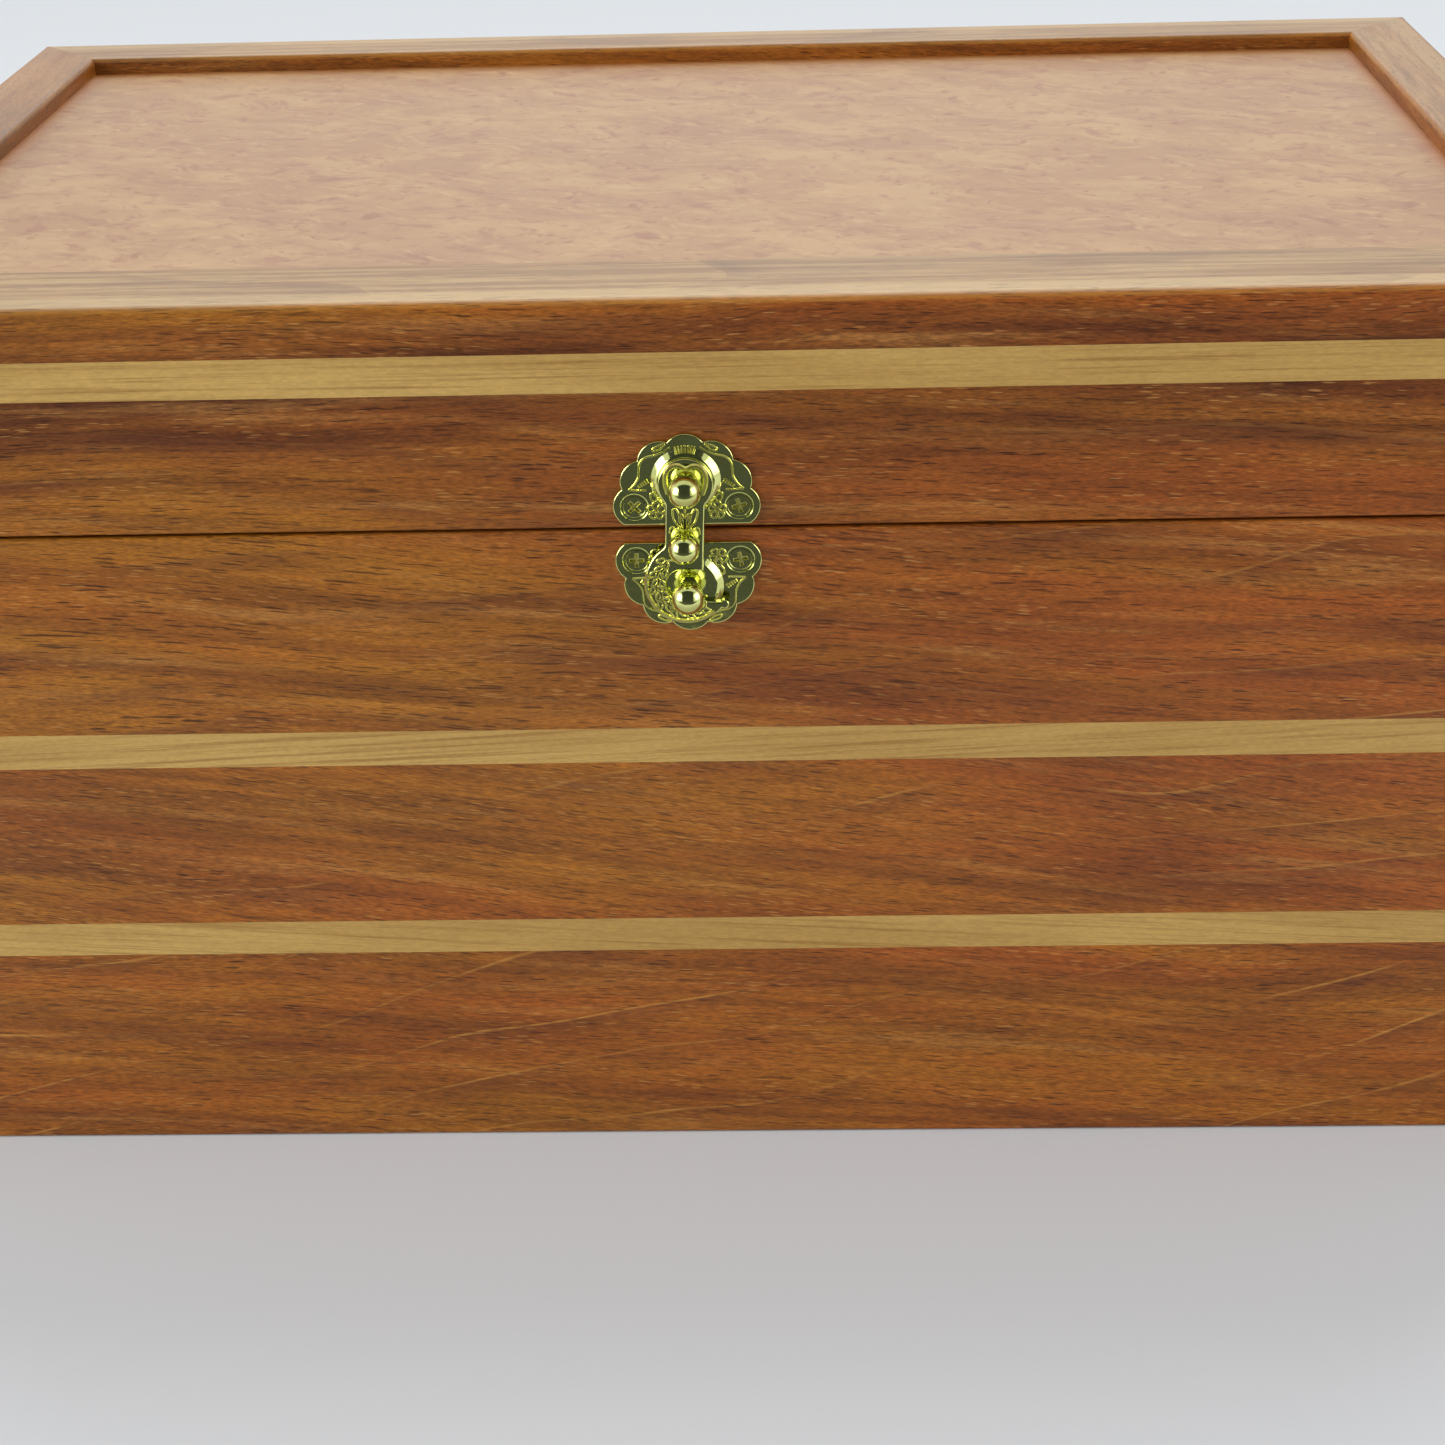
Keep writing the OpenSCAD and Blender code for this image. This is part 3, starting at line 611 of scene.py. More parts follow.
plank = random.Random(7)
TRAITS = ("fibre", "rings", "tone", "shade", "pores", "ringed")
FRONT_CUTS = {
    # On the lid's front rail the shade pair is painted shade on the front face, and leaves the top
    # lighter
    "lid_front_top_board": (-0.5, 0, (-0.2, 0.7), (0.5, -0.1), (0.8, 0.6), (0.1, 0.1)),
    "lid_front_lower_board": (-1, -2, (-0.2, 0.5), (0, 0.55), (0.7, 0.5), (0.1, 0.15)),
    "front_upper_board": (-5, 6, (-0.4, 0.7), (0.05, 0.1), (1, 0.5), (0, 0.5)),
    "front_middle_board": (-8, 7, (-0.2, 0.5), (0.05, 0.1), (0.6, 0.5), (0.5, 0.6)),
    "front_lower_board": (-4, 13, (0, 0.3), (0.1, 0.05), (0.5, 0.4), (0.7, 0.8)),
}
ANY_CUT = {"tone": (-0.3, 0.4), "shade": (0, 0.15), "pores": (0.4, 0.8), "ringed": (0.2, 0.7)}
PLANK_LENGTH = 3000
# How much painted sheen lies on each of the lid's rails
SHEEN_BY_SIDE = {"front": 1, "back": 0.92, "left": 0.74, "right": 0.84}


def cut_for(node, side):
    """How a board lies in the plank, where in it the board starts, and how much painted sheen lies on it.
    """
    if node in FRONT_CUTS:
        cut = dict(zip(TRAITS, FRONT_CUTS[node]))
    else:
        cut = {name: (plank.uniform(*ends), plank.uniform(*ends)) for name, ends in ANY_CUT.items()}
        cut.update(fibre=plank.uniform(-4, 4), rings=plank.uniform(-9, 9))
    cut["start"] = [plank.uniform(0, PLANK_LENGTH) for _ in range(3)]
    # Only the lid's top rails get the painted sheen
    cut["painted_sheen"] = SHEEN_BY_SIDE[side] if "top_board" in node else 0
    return cut


print("boards picked by hand:", list(FRONT_CUTS))

# %% [markdown]
# ## One board of a wall
#
# Every board goes the same way over the bench: it is cut to its length and mitred to its
# neighbours' widths, gets its roundings and its groove, and is then turned to its side. Seen
# from above, only the lid's rails at the front and back differ in width from the walls.

# %% Cut one board
def width_of(side, course):
    low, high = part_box(course.format(side=side))
    if "top_board" in course and side in ("front", "back"):
        return high.y + BOX_D / 2 if side == "front" else BOX_D / 2 - low.y
    return WALL_T


def wall_board(side, course, body, rounded, cut_more=None):
    """rounded is a list of (on the inner face, at the top, radius)."""
    node = course.format(side=side)
    low, high = levels(node)
    across = side in ("front", "back")
    half_length, half_other = (BOX_W / 2, BOX_D / 2) if across else (BOX_D / 2, BOX_W / 2)
    turns = SIDES.index(side)
    width, left, right = (width_of(SIDES[(turns + step) % 4], course) for step in (0, -1, 1))
    edges = [(width if inner else 0, high if top else low, radius) for inner, top, radius in rounded]
    mesh = blank(half_length, low, high, width, left, right, edges)
    if cut_more:
        cut_more(mesh, side, half_length, low, high)
    turn = Matrix.Rotation(math.radians(90) * turns, 4, "Z")
    place = turn @ Matrix.Translation((0, -half_other, 0))
    slot, material = ("maple", MAPLE) if "stripe" in node else ("jatoba", JATOBA)
    return finish_piece(mesh, node + "_wood", body, [node], material, place, cut_for(node, side))


for side in SIDES:
    print(side, "rail:", round(width_of(side, "lid_{side}_top_board") / MM, 1), "mm wide")

# %% [markdown]
# ## What the walls hold
#
# The lid's panel lies in a groove and the bottom in a rebate, both a little deeper than the
# sheets reach, so that the wood may swell. The hinge leaves lie flush in pockets, in the
# case's top edge and the lid's lower edge.

# %% Grooves, rebates and pockets for this box
PANEL_GAP = 0.3 * MM
LEAF_D, LEAF_T, LEAF_PLAY = 14 * MM, 1.2 * MM, 0.15 * MM
GROOVE_D, REBATE_W = (
    WALL_T - (BOX_W / 2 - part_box(sheet)[1].x) + PANEL_GAP for sheet in ("lid_panel", "bottom_panel")
)


def panel_groove(mesh, side, half_length, low, high):
    width = width_of(side, "lid_{side}_top_board")
    groove(mesh, half_length, width, GROOVE_D, *levels("lid_panel"))


def bottom_rebate(mesh, side, half_length, low, high):
    groove(mesh, half_length, WALL_T, REBATE_W, low, levels("bottom_panel")[1])


def leaf_pockets(mesh, side, half_length, low, high):
    if side != "back":
        return
    in_case = high <= levels("front_upper_board")[1] + TOUCHING
    seam, floor = (high, high - LEAF_T) if in_case else (low, low + LEAF_T)
    for leaf in ("left_hinge_case_leaf", "right_hinge_case_leaf"):
        near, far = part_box(leaf)
        # Seen from behind, left and right change places
        pocket(mesh, -far.x - LEAF_PLAY, -near.x + LEAF_PLAY, LEAF_D + LEAF_PLAY, floor, seam)


print("the groove is", round(GROOVE_D / MM, 1), "mm deep, the rebate", round(REBATE_W / MM, 1))

# %% [markdown]
# ## Eight courses on four sides
#
# The case has five courses and the lid three. Only the outermost edges are rounded: those at
# the base, on both sides of the seam and round the lid's rim. The others are glued.

# %% Cut every board
COURSES = [
    ("{side}_lower_board", "case", [(False, False, BASE_EDGE_R)], bottom_rebate),
    ("{side}_lower_stripe", "case", [], None),
    ("{side}_middle_board", "case", [], None),
    ("{side}_upper_stripe", "case", [], None),
    ("{side}_upper_board", "case", [(False, True, SEAM_EDGE_R)], leaf_pockets),
    ("lid_{side}_lower_board", "lid", [(False, False, SEAM_EDGE_R)], leaf_pockets),
    ("lid_{side}_stripe", "lid", [], None),
    ("lid_{side}_top_board", "lid", [(False, True, LID_OUTER_R), (True, True, LID_INNER_R)],
     panel_groove),
]
for side in SIDES:
    for course in COURSES:
        wall_board(side, *course)
print("boards cut:", len(SIDES) * len(COURSES))

# %% [markdown]
# ## The lid's panel
#
# A figured veneer lies on the panel: cut through a burl, its fibre turns in every direction,
# and small buds show as darker eyes. Burl can't be drawn as plain streaks, because it has no
# one direction. Noise whose coordinates are themselves pushed about by a coarser noise curls
# as the fibre does, and round noise cut high leaves only scattered spots for the eyes. The
# curls lean across the sheet, so the pushed coordinates are turned by 25 degrees.

# %% Coordinates that curl
PUSH, PUSH_SIZE, CURL_ANGLE = 20, 22, math.radians(25)


def place_in_mm(material):
    """Where a point lies, in mm from the middle of the box's underside."""
    place = add(material, "TexCoord", {}, out="Object")
    return add(material, "VectorMath", {"operation": "SCALE", 0: place, "Scale": 1 / MM})


BURL = new_material("burl veneer, wiped with satin varnish", **SATIN_VARNISH)
still = place_in_mm(BURL)
push = add(BURL, "Mapping", {"Vector": still, "Scale": [1 / PUSH_SIZE] * 3})
push = add(BURL, "TexNoise", {"Vector": push, "Scale": 1, "Detail": 3}, out="Color")
push = add(BURL, "VectorMath", {"operation": "SUBTRACT", 0: push, 1: (0.5, 0.5, 0.5)})
push = add(BURL, "VectorMath", {"operation": "SCALE", 0: push, "Scale": PUSH})
curled = add(BURL, "VectorMath", {"operation": "ADD", 0: still, 1: push})
curled = add(BURL, "Mapping", {"Vector": curled, "Rotation": (0, 0, CURL_ANGLE)})
print("a point is pushed by up to", PUSH / 2, "mm each way")

# %% [markdown]
# The ground is cloudy, with short soft streaks and scattered eyes. Along its frame the sheet is
# painted orange in a strip a few millimetres wide, a painted reflection of the rails' inner faces.

# %% Burl veneer
INNER_X = (BOX_W / 2 - WALL_T) / MM
INNER_Y = (BOX_D / 2 - width_of("back", "lid_{side}_top_board")) / MM
RAIL_REFLECTION_W = 5

ground = add(BURL, "Mix", {
    **COLOURS, MIX: marks(BURL, curled, (30, 17, 17), 0.35, 0.65, shift=3, detail=4),
    FIRST: linear("#ab7d4f"), SECOND: linear("#bb915e"),
}, out=MIXED)
for size, low, high, strength, chip, shift in (
    ((60, 30, 30), 0.4, 0.65, 0.4, "#a0704e", 17),
    ((18, 7, 7), 0.5, 0.72, 0.45, "#9a6440", 29),
    ((9, 2.6, 2.6), 0.5, 0.72, 0.5, "#c9a26e", 11),
    # Eyes 3 to 6 mm across with soft rims, and smaller ones between them
    ((7, 6, 6), 0.55, 0.7, 0.55, "#95583c", 47),
    ((3.6, 3.6, 3.6), 0.57, 0.72, 0.6, "#90502e", 61),
):
    ground = stain(BURL, ground, marks(BURL, curled, size, low, high, shift), strength, chip)

# A painted reflection of the rails along the panel's edges
for axis, inner in (("X", INNER_X), ("Y", INNER_Y)):
    offset = add(BURL, "SeparateXYZ", {"Vector": still}, out=axis)
    distance = add(BURL, "Math", {"operation": "ABSOLUTE", 0: offset})
    rail_reflection = add(BURL, "MapRange", {
        "Value": distance, "From Min": inner - RAIL_REFLECTION_W, "From Max": inner,
    })
    ground = stain(BURL, ground, rail_reflection, 0.65, "#b06a32")
feed(BURL, "Base Color", ground)
print(BURL.name, "has", len(BURL.node_tree.nodes), "nodes")

# %% [markdown]
# ## Plywood for the bottom
#
# The bottom is plain birch plywood, sanded and left bare. Nobody looks at it until the box is
# open, but then its broad pale face is the first thing to show.

# %% Plywood
PLYWOOD = new_material("birch plywood, sanded and bare", IOR=1.45, Roughness=0.6)
still = place_in_mm(PLYWOOD)
ground = add(PLYWOOD, "Mix", {
    **COLOURS, MIX: marks(PLYWOOD, still, (140, 12, 3), 0.3, 0.7, detail=4),
    FIRST: linear("#c9a873"), SECOND: linear("#dcc193"),
}, out=MIXED)
lines = marks(PLYWOOD, still, (50, 0.8, 0.8), 0.5, 0.8, shift=5)
feed(PLYWOOD, "Base Color", stain(PLYWOOD, ground, lines, 0.4, "#a98551"))
print(PLYWOOD.name, "has", len(PLYWOOD.node_tree.nodes), "nodes")

# %% [markdown]
# Both sheets are plain boards whose edges a sanding block has just broken. Their size is
# their solid's.

# %% Both panels
def flat_panel(node, body, material):
    low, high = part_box(node)
    mesh = bmesh.new()
    size = Matrix.Diagonal((*(high - low), 1))
    bmesh.ops.create_cube(mesh, size=1, matrix=Matrix.Translation((low + high) / 2) @ size)
    round_edges(mesh, mesh.edges[:], 0.2 * MM, segments=2)
    return finish_piece(mesh, node + "_wood", body, [node], material)


for panel in (
    flat_panel("lid_panel", "lid", BURL),
    flat_panel("bottom_panel", "case", PLYWOOD),
):
    print(panel.name, [round(side / MM, 1) for side in panel.dimensions], "mm")

# %% [markdown]
# ## Plated brass
#
# The latch is stamped from thin brass sheet, polished and plated, and it shines a cool
# greenish yellow. Bright metal shows little but what it mirrors, tinted by its own colour. So
# its material is short: fully metallic, nearly smooth, with duller patches a few millimetres
# wide where fingers touch it, and a faint ripple that the stamping leaves in the sheet.

# %% Brass for the latch, and older brass for the hinges
def brass(name, chip, dull_chip, smooth, dull, ripple):
    """smooth and dull are roughnesses, and ripple is a depth in mm."""
    metal = new_material(name, Metallic=1)
    still = place_in_mm(metal)
    touched = marks(metal, still, (5, 5, 5), 0.42, 0.75, detail=4)
    feed(metal, "Base Color", add(metal, "Mix", {
        **COLOURS, MIX: touched, FIRST: linear(chip), SECOND: linear(dull_chip),
    }, out=MIXED))
    feed(metal, "Roughness", add(metal, "MapRange", {"Value": touched, "To Min": smooth, "To Max": dull}))
    wave = marks(metal, still, (1.6, 1.6, 1.6), 0, 1, shift=5, detail=2)
    feed(metal, "Normal", add(metal, "Bump", {"Strength": 1, "Distance": ripple * MM, "Height": wave}))
    return metal


PLATED = brass("plated brass, polished", "#dbe08e", "#cfd07a", 0.06, 0.16, 0.015)
# Raised lines are too small to polish to a mirror. Softly brushed, they gather light from all sides
# The same paler brass is painted into the latch screws' recesses for the light that bounces there
RELIEF_AND_PAINTED_BOUNCE = brass("plated brass, softly brushed", "#f6f290", "#e4e07a", 0.24, 0.36, 0.01)
HINGE_BRASS = brass("brass, brushed and lacquered", "#c8a85a", "#a88a48", 0.28, 0.42, 0.02)
print("metals:", PLATED.name, "and", HINGE_BRASS.name)

# %% [markdown]
# ## Softened stampings
#
# Stamping leaves every edge of the sheet a little rounded, and that thin rim catches the light
# all round a plate. The plates' outlines are right in the solids already, so redrawing them
# would only bring in errors. A copy of the solid is merged and freed of the lines that cross
# its flat faces, and then only the edges that lie in chosen faces are bevelled.

# %% Copy a solid and soften its rims
FLAT_ANGLE, CORNER_ANGLE = math.radians(0.4), math.radians(30)


def softened(node, chosen, radius, segments=3):
    mesh = bmesh.new()
    mesh.from_mesh(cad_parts[node].data)
    bmesh.ops.remove_doubles(mesh, verts=mesh.verts, dist=TOUCHING)
    bmesh.ops.dissolve_limit(mesh, angle_limit=FLAT_ANGLE, verts=mesh.verts, edges=mesh.edges)
    rims = [
        edge for edge in mesh.edges
        if edge.is_convex and edge.calc_face_angle(0) > CORNER_ANGLE and chosen(edge)
    ]
    round_edges(mesh, rims, radius, segments)
    return mesh


def in_plane(axis, level):
    """Picks edges that lie at a level of an axis, to a hundredth of a millimetre."""
    return lambda edge: all(abs(vert.co[axis] - level) < 0.01 * MM for vert in edge.verts)


def in_face(out, near=0, centres=((0, 0),)):
    """Picks edges in the plane at out in front of the wall, further than near from some centres."""
    flat = in_plane(1, -BOX_D / 2 - out)

    def test(edge):
        return flat(edge) and all(
            math.hypot(vert.co.x - x, vert.co.z - z) > near for vert in edge.verts for x, z in centres
        )

    return test


print("corners sharper than", round(math.degrees(CORNER_ANGLE)), "degrees can be softened")

# %% [markdown]
# Each plate is softened along its own rim and along the rim of its boss's face. The hole in
# the boss stays sharp, because the stud covers it.

# %% Both plates
# How far the stampings' faces stand in front of the wall
PLATE_FACE, BOSS_FACE, ARM_FACE = 0.9 * MM, 2.2 * MM, 3.6 * MM
PIVOT_Z = sum(levels("latch_pivot_stud")) / 2
STUD_Z = sum(levels("keeper_stud")) / 2
for plate, body, middle in (("latch_plate", "lid", PIVOT_Z), ("keeper_plate", "case", STUD_Z)):
    rim, boss = in_face(PLATE_FACE), in_face(BOSS_FACE, 3 * MM, [(0, middle)])
    mesh = softened(plate, lambda edge: rim(edge) or boss(edge), 0.28 * MM)
    print(plate, "has", len(mesh.faces), "faces")
    finish_piece(mesh, plate + "_stamped", body, [plate], PLATED)

# %% [markdown]
# The hooked arm is a thicker stamping, so its rim is rounder. The pivot and the knob cover the
# edges of its two holes, and those stay sharp.

# %% The hooked arm
KNOB_X, KNOB_Z = (sum(axis) / 2 for axis in zip(*((c.x, c.z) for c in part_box("latch_knob"))))
arm_rim = in_face(ARM_FACE, 2.2 * MM, [(0, PIVOT_Z), (KNOB_X, KNOB_Z)])
mesh = softened("latch_arm", arm_rim, 0.35 * MM, segments=4)
print("latch_arm has", len(mesh.faces), "faces")
finish_piece(mesh, "latch_arm_stamped", "latch_arm", ["latch_arm"], PLATED)

# %% [markdown]
# ## Turned studs and knob
#
# Two studs and a knob end in polished balls. On a lathe a ball is turned together with its
# neck, and spin does the same: it carries half of the outline round the axis. A round ball
# needs many steps, because its highlights show every flat.

# %% Turn the studs and the knob
BALL_POINTS = 28


def turned(outline, steps=72):
    """Spins an outline of (radius, height) points round the Z axis."""
    mesh = bmesh.new()
    line = [mesh.verts.new((radius, 0, height)) for radius, height in outline]
    edges = [mesh.edges.new(pair) for pair in zip(line, line[1:])]
    bmesh.ops.spin(
        mesh, geom=line + edges, cent=(0, 0, 0), axis=(0, 0, 1), angle=math.tau,
        steps=steps, use_merge=True,
    )
    return mesh


def ball_on_neck(ball_r, centre, neck_r, foot):
    """From the top of a ball round to its neck, down to the foot and in to the axis."""
    last = math.pi - math.asin(neck_r / ball_r)
    turns = [last * i / BALL_POINTS for i in range(BALL_POINTS + 1)]
    ball = [(ball_r * math.sin(turn), centre + ball_r * math.cos(turn)) for turn in turns]
    return [(0, centre + ball_r)] + ball[1:] + [(neck_r, foot), (0, foot)]


def on_front(x, height, out=0.0, tilt=0.0, flip=1):
    """From the bench, in mm with Z towards the eye, to a distance out in front of the wall."""
    upright = Matrix.Rotation(math.radians(90), 4, "X") @ Matrix.Rotation(math.radians(tilt), 4, "Z")
    placed = Matrix.Translation((x, -BOX_D / 2, height)) @ upright @ Matrix.Diagonal((1, flip, 1, 1))
    return placed @ Matrix.Translation((0, 0, out)) @ Matrix.Scale(MM, 4)


for name, body, x, z, ball_r, neck_r, foot in (
    ("latch_pivot_stud", "lid", 0, PIVOT_Z, 3.1, 1.8, 2.1),
    ("keeper_stud", "case", 0, STUD_Z, 3.1, 1.8, 2.1),
    ("latch_knob", "latch_arm", KNOB_X, KNOB_Z, 2.9, 1.6, 3.5),
):
    front = (-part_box(name)[0].y - BOX_D / 2) / MM
    mesh = turned(ball_on_neck(ball_r, front - ball_r, neck_r, foot))
    finish_piece(mesh, name + "_turned", body, [name], PLATED, on_front(x, z))
    print(name, "stands", round(front, 2), "mm in front of the wall")

# %% [markdown]
# ## Screws
#
# Four screws hold the latch and eight the hinges. Their heads and cross recesses are in the
# solids, and a rounding of a tenth of a millimetre makes them look like metal. Inside a
# recess light bounces from wall to wall, so the latch's recesses get the paler brushed brass
# as painted bounce light.

# %% Soften the screw heads
for name, body, axis, level, slot, metal in (
    ("latch_plate_screws", "lid", 1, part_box("latch_plate_screws")[0].y, "plated_brass", PLATED),
    ("keeper_plate_screws", "case", 1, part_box("keeper_plate_screws")[0].y, "plated_brass", PLATED),
    ("case_hinge_screws", "case", 2, levels("case_hinge_screws")[1], "hinge_brass", HINGE_BRASS),
    ("lid_hinge_screws", "lid", 2, levels("lid_hinge_screws")[0], "hinge_brass", HINGE_BRASS),
):
    mesh = softened(name, in_plane(axis, level), 0.12 * MM, segments=2)
    screws = finish_piece(mesh, name + "_headed", body, [name], metal)
    # Recess faces get the paler brass: painted bounce light
    if metal == PLATED:
        screws.data.materials.append(RELIEF_AND_PAINTED_BOUNCE)
        for face in screws.data.polygons:
            face.material_index = int(face.center.y > level + 0.005 * MM)
    print(name, "softened")

# %% [markdown]
# ## Hinges
#
# Each hinge is two leaves of rolled brass on a pin. The leaves' cut edges are broken with a
# file, and each pin's ends are riveted over into low domes.

# %% Leaves and pins
# A pin's end in mm: its dome, as radius and depth below the top, and the shaft under it
RIVETED_END = ((0, 0), (0.8, 0.1), (1.3, 0.35), (1.5, 0.6), (0.9, 0.6))


def any_corner(edge):
    return edge.calc_length() > 0.3 * MM and edge.calc_face_angle(0) > math.radians(50)


for side in ("left", "right"):
    for half, body in (("case", "case"), ("lid", "lid")):
        node = f"{side}_hinge_{half}_leaf"
        mesh = softened(node, any_corner, 0.12 * MM, segments=2)
        finish_piece(mesh, node + "_rolled", body, [node], HINGE_BRASS)
    low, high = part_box(f"{side}_hinge_pin")
    middle, half_length = (low + high) / 2, (high.x - low.x) / 2 / MM
    outline = [(radius, half_length - depth) for radius, depth in RIVETED_END]
    outline += [(radius, -height) for radius, height in reversed(outline)]
    place = Matrix.Translation(middle) @ Matrix.Rotation(math.radians(90), 4, "Y") @ Matrix.Scale(MM, 4)
    finish_piece(
        turned(outline, steps=32), f"{side}_hinge_pin_riveted", "case", [f"{side}_hinge_pin"],
        HINGE_BRASS, place,
    )
    print(side, "hinge done")

# %% [markdown]
# ## Stamped foliage
#
# The die also raises thin lines on the plates and the arm: swags, leaves, small flowers and
# fans of strokes, as on countless small box latches. They could be a bump map, but at this
# size a bump would blur. Each line is a curve with a round section instead, made into a mesh,
# and half of it stands out of the plate, so that it catches the light along its top.

# %% Lines from curves
# The radius in mm, and in metres how near two points of a line may be and yet not be merged
LINE_R, LINE_MERGE = 0.2, 1e-8


def raised_lines(strokes, radius=LINE_R):
    """A mesh of lines through points in mm. A stroke is (closed, points)."""
    curve = bpy.data.curves.new("lines", "CURVE")
    curve.dimensions, curve.bevel_depth, curve.bevel_resolution = "3D", radius, 1
    curve.resolution_u, curve.use_fill_caps = 4, True
    for closed, points in strokes:
        spline = curve.splines.new("BEZIER")
        spline.bezier_points.add(len(points) - 1)
        spline.use_cyclic_u = closed
        for knot, point in zip(spline.bezier_points, points):
            knot.co = (*point, 0) if len(point) == 2 else point
            knot.handle_left_type = knot.handle_right_type = "AUTO"
    drawn = bpy.data.objects.new("lines", curve)
    flat = bpy.data.meshes.new_from_object(drawn)
    mesh = bmesh.new()
    mesh.from_mesh(flat)
    bpy.data.objects.remove(drawn)
    bpy.data.meshes.remove(flat)
    return mesh


trial = raised_lines([(False, [(0, 0), (5, 0)])])
print("a straight line 5 mm long has", len(trial.faces), "faces")
trial.free()

# %% [markdown]
# Leaves and petals come again and again, so each is drawn once, along a line from its foot,
# and then laid in its place and direction.

# %% Leaves and petals
def laid(x, y, degrees, points):
    """Carries points, given along and beside a line, to a line from (x, y) in a direction."""
    turn = math.radians(degrees)
    return [
        (x + along * math.cos(turn) - aside * math.sin(turn),
         y + along * math.sin(turn) + aside * math.cos(turn)) for along, aside in points
    ]


def leaf(x, y, degrees, length, width, bend=0.0):
    """A leaf's outline, from its foot at (x, y). Its tip may bend aside."""
    shape = [(0, 0), (0.35, width / 2), (0.72, width / 2.6), (1, bend)]
    shape += [(0.68, -width / 2.4), (0.3, -width / 2)]
    return True, laid(x, y, degrees, [(along * length, aside) for along, aside in shape])


def petal(x, y, degrees, length, width):
    """A petal's outline, which is a leaf's with a broad round end."""
    shape = [(0, 0), (0.4, 0.36), (0.78, 0.5), (1, 0.2), (1, -0.2), (0.78, -0.5), (0.4, -0.36)]
    return True, laid(x, y, degrees, [(length * along, width * aside) for along, aside in shape])


trial = raised_lines([leaf(0, 0, 0, 2, 1)])
print("one raised leaf has", len(trial.faces), "faces")
trial.free()

# %% [markdown]
# Both plates carry the same lines, the lower one upside down, and the right half of a plate
# mirrors its left half. So only half of one plate is drawn.

# %% Foliage on the plates
BOSS_Y = (PIVOT_Z - levels("latch_plate")[0]) / MM
half_plate = [
    (False, [(-2.7, 15.1), (-3.9, 14.4), (-5.6, 13.7), (-7.4, 13.2), (-8.4, 12.1), (-8.6, 10.8),
             (-8.7, 9.6), (-9.2, 8.5), (-9.9, 7.6), (-10.6, 7.0)]),
    (False, [(-10.6, 7.0), (-9.0, 6.9), (-7.3, 6.9)]),
    leaf(-5.9, 14.6, 25, 2.4, 0.7, 0.2),
    leaf(-5.6, 4.6, 118, 1.9, 1.0),
    leaf(-4.6, 4.6, 62, 1.2, 0.7),
]
# A small flower beside the screw, and a fan of short strokes above the swag's foot
half_plate += [petal(-5.6 + 0.35 * math.cos(a), 2.85 + 0.35 * math.sin(a), math.degrees(a), 1.3, 1.25)
               for a in (math.radians(72 * i + 90) for i in range(5))]
half_plate += [
    (False, [(-9.0 + 0.42 * i, 7.9 + 0.3 * i), (-8.6 + 0.42 * i, 7.35 + 0.22 * i)]) for i in range(5)
]
right_half = [(closed, [(-x, y) for x, y in points]) for closed, points in half_plate]
# Ticks climb the boss's slope at its top
ticks = []
for degrees in (74, 79, 84, 90, 96, 101, 106):
    way = Vector((math.cos(math.radians(degrees)), math.sin(math.radians(degrees)), 0))
    foot, head = way * 6.8, way * 5.7 + Vector((0, 0, 0.95))
    ticks.append((False, [tuple(Vector((0, BOSS_Y, 0)) + point) for point in (foot, head)]))

for plate, body, height, flip in (
    ("latch_plate", "lid", levels("latch_plate")[0], 1),
    ("keeper_plate", "case", levels("keeper_plate")[1], -1),
):
    mesh = raised_lines(half_plate + right_half + ticks)
    place = on_front(0, height, PLATE_FACE, flip=flip)
    finish_piece(mesh, plate + "_foliage", body, [], RELIEF_AND_PAINTED_BOUNCE, place, merge=LINE_MERGE)
    print(plate, "foliage drawn")

# %% [markdown]
# The arm has a sprout between its two balls and leaves round its head. Along the hook a vine
# follows the curve, with leaves on either side in turn.

# %% Foliage on the arm
TILT = -math.degrees(math.atan2(-KNOB_X, PIVOT_Z - KNOB_Z))
arm_lines = [
    (False, [(0, -4.0), (0, -6.0), (0, -8.2)]),
    leaf(-0.1, -8.3, 122, 4.2, 1.5, -0.4), leaf(0.1, -8.3, 58, 4.2, 1.5, 0.4),
    leaf(-0.1, -8.3, 104, 3, 0.9, 0.1), leaf(0.1, -8.3, 76, 3, 0.9, -0.1),
    (False, [(-2.8, -9.4), (-2.3, -8.1), (-1.5, -8.8), (-0.8, -8.1), (0, -8.8), (0.8, -8.1),
             (1.5, -8.8), (2.3, -8.1), (2.8, -9.4)]),
]
HOOK_X, HOOK_Y, VINE_R, RIM_R = 0.5, -19.3, 5.5, 7.45


def on_hook(radius, degrees):
    """A point round the middle of the hook."""
    turn = math.radians(degrees)
    return HOOK_X + radius * math.cos(turn), HOOK_Y + radius * math.sin(turn)


vine = []
for i in range(15):
    degrees = 118 + 14 * i
    vine.append(on_hook(VINE_R + (0.3 if i % 2 else -0.3), degrees))
    if 0 < i < 14:
        arm_lines.append(leaf(*vine[-1], degrees + 45, 1.7, 1.0, 0.2))
        arm_lines.append(leaf(*vine[-1], degrees + 135, 1.7, 1.0, -0.2))
arm_lines.append((False, vine))
rim = [(False, [on_hook(RIM_R, 165 + 10 * i) for i in range(16)])]
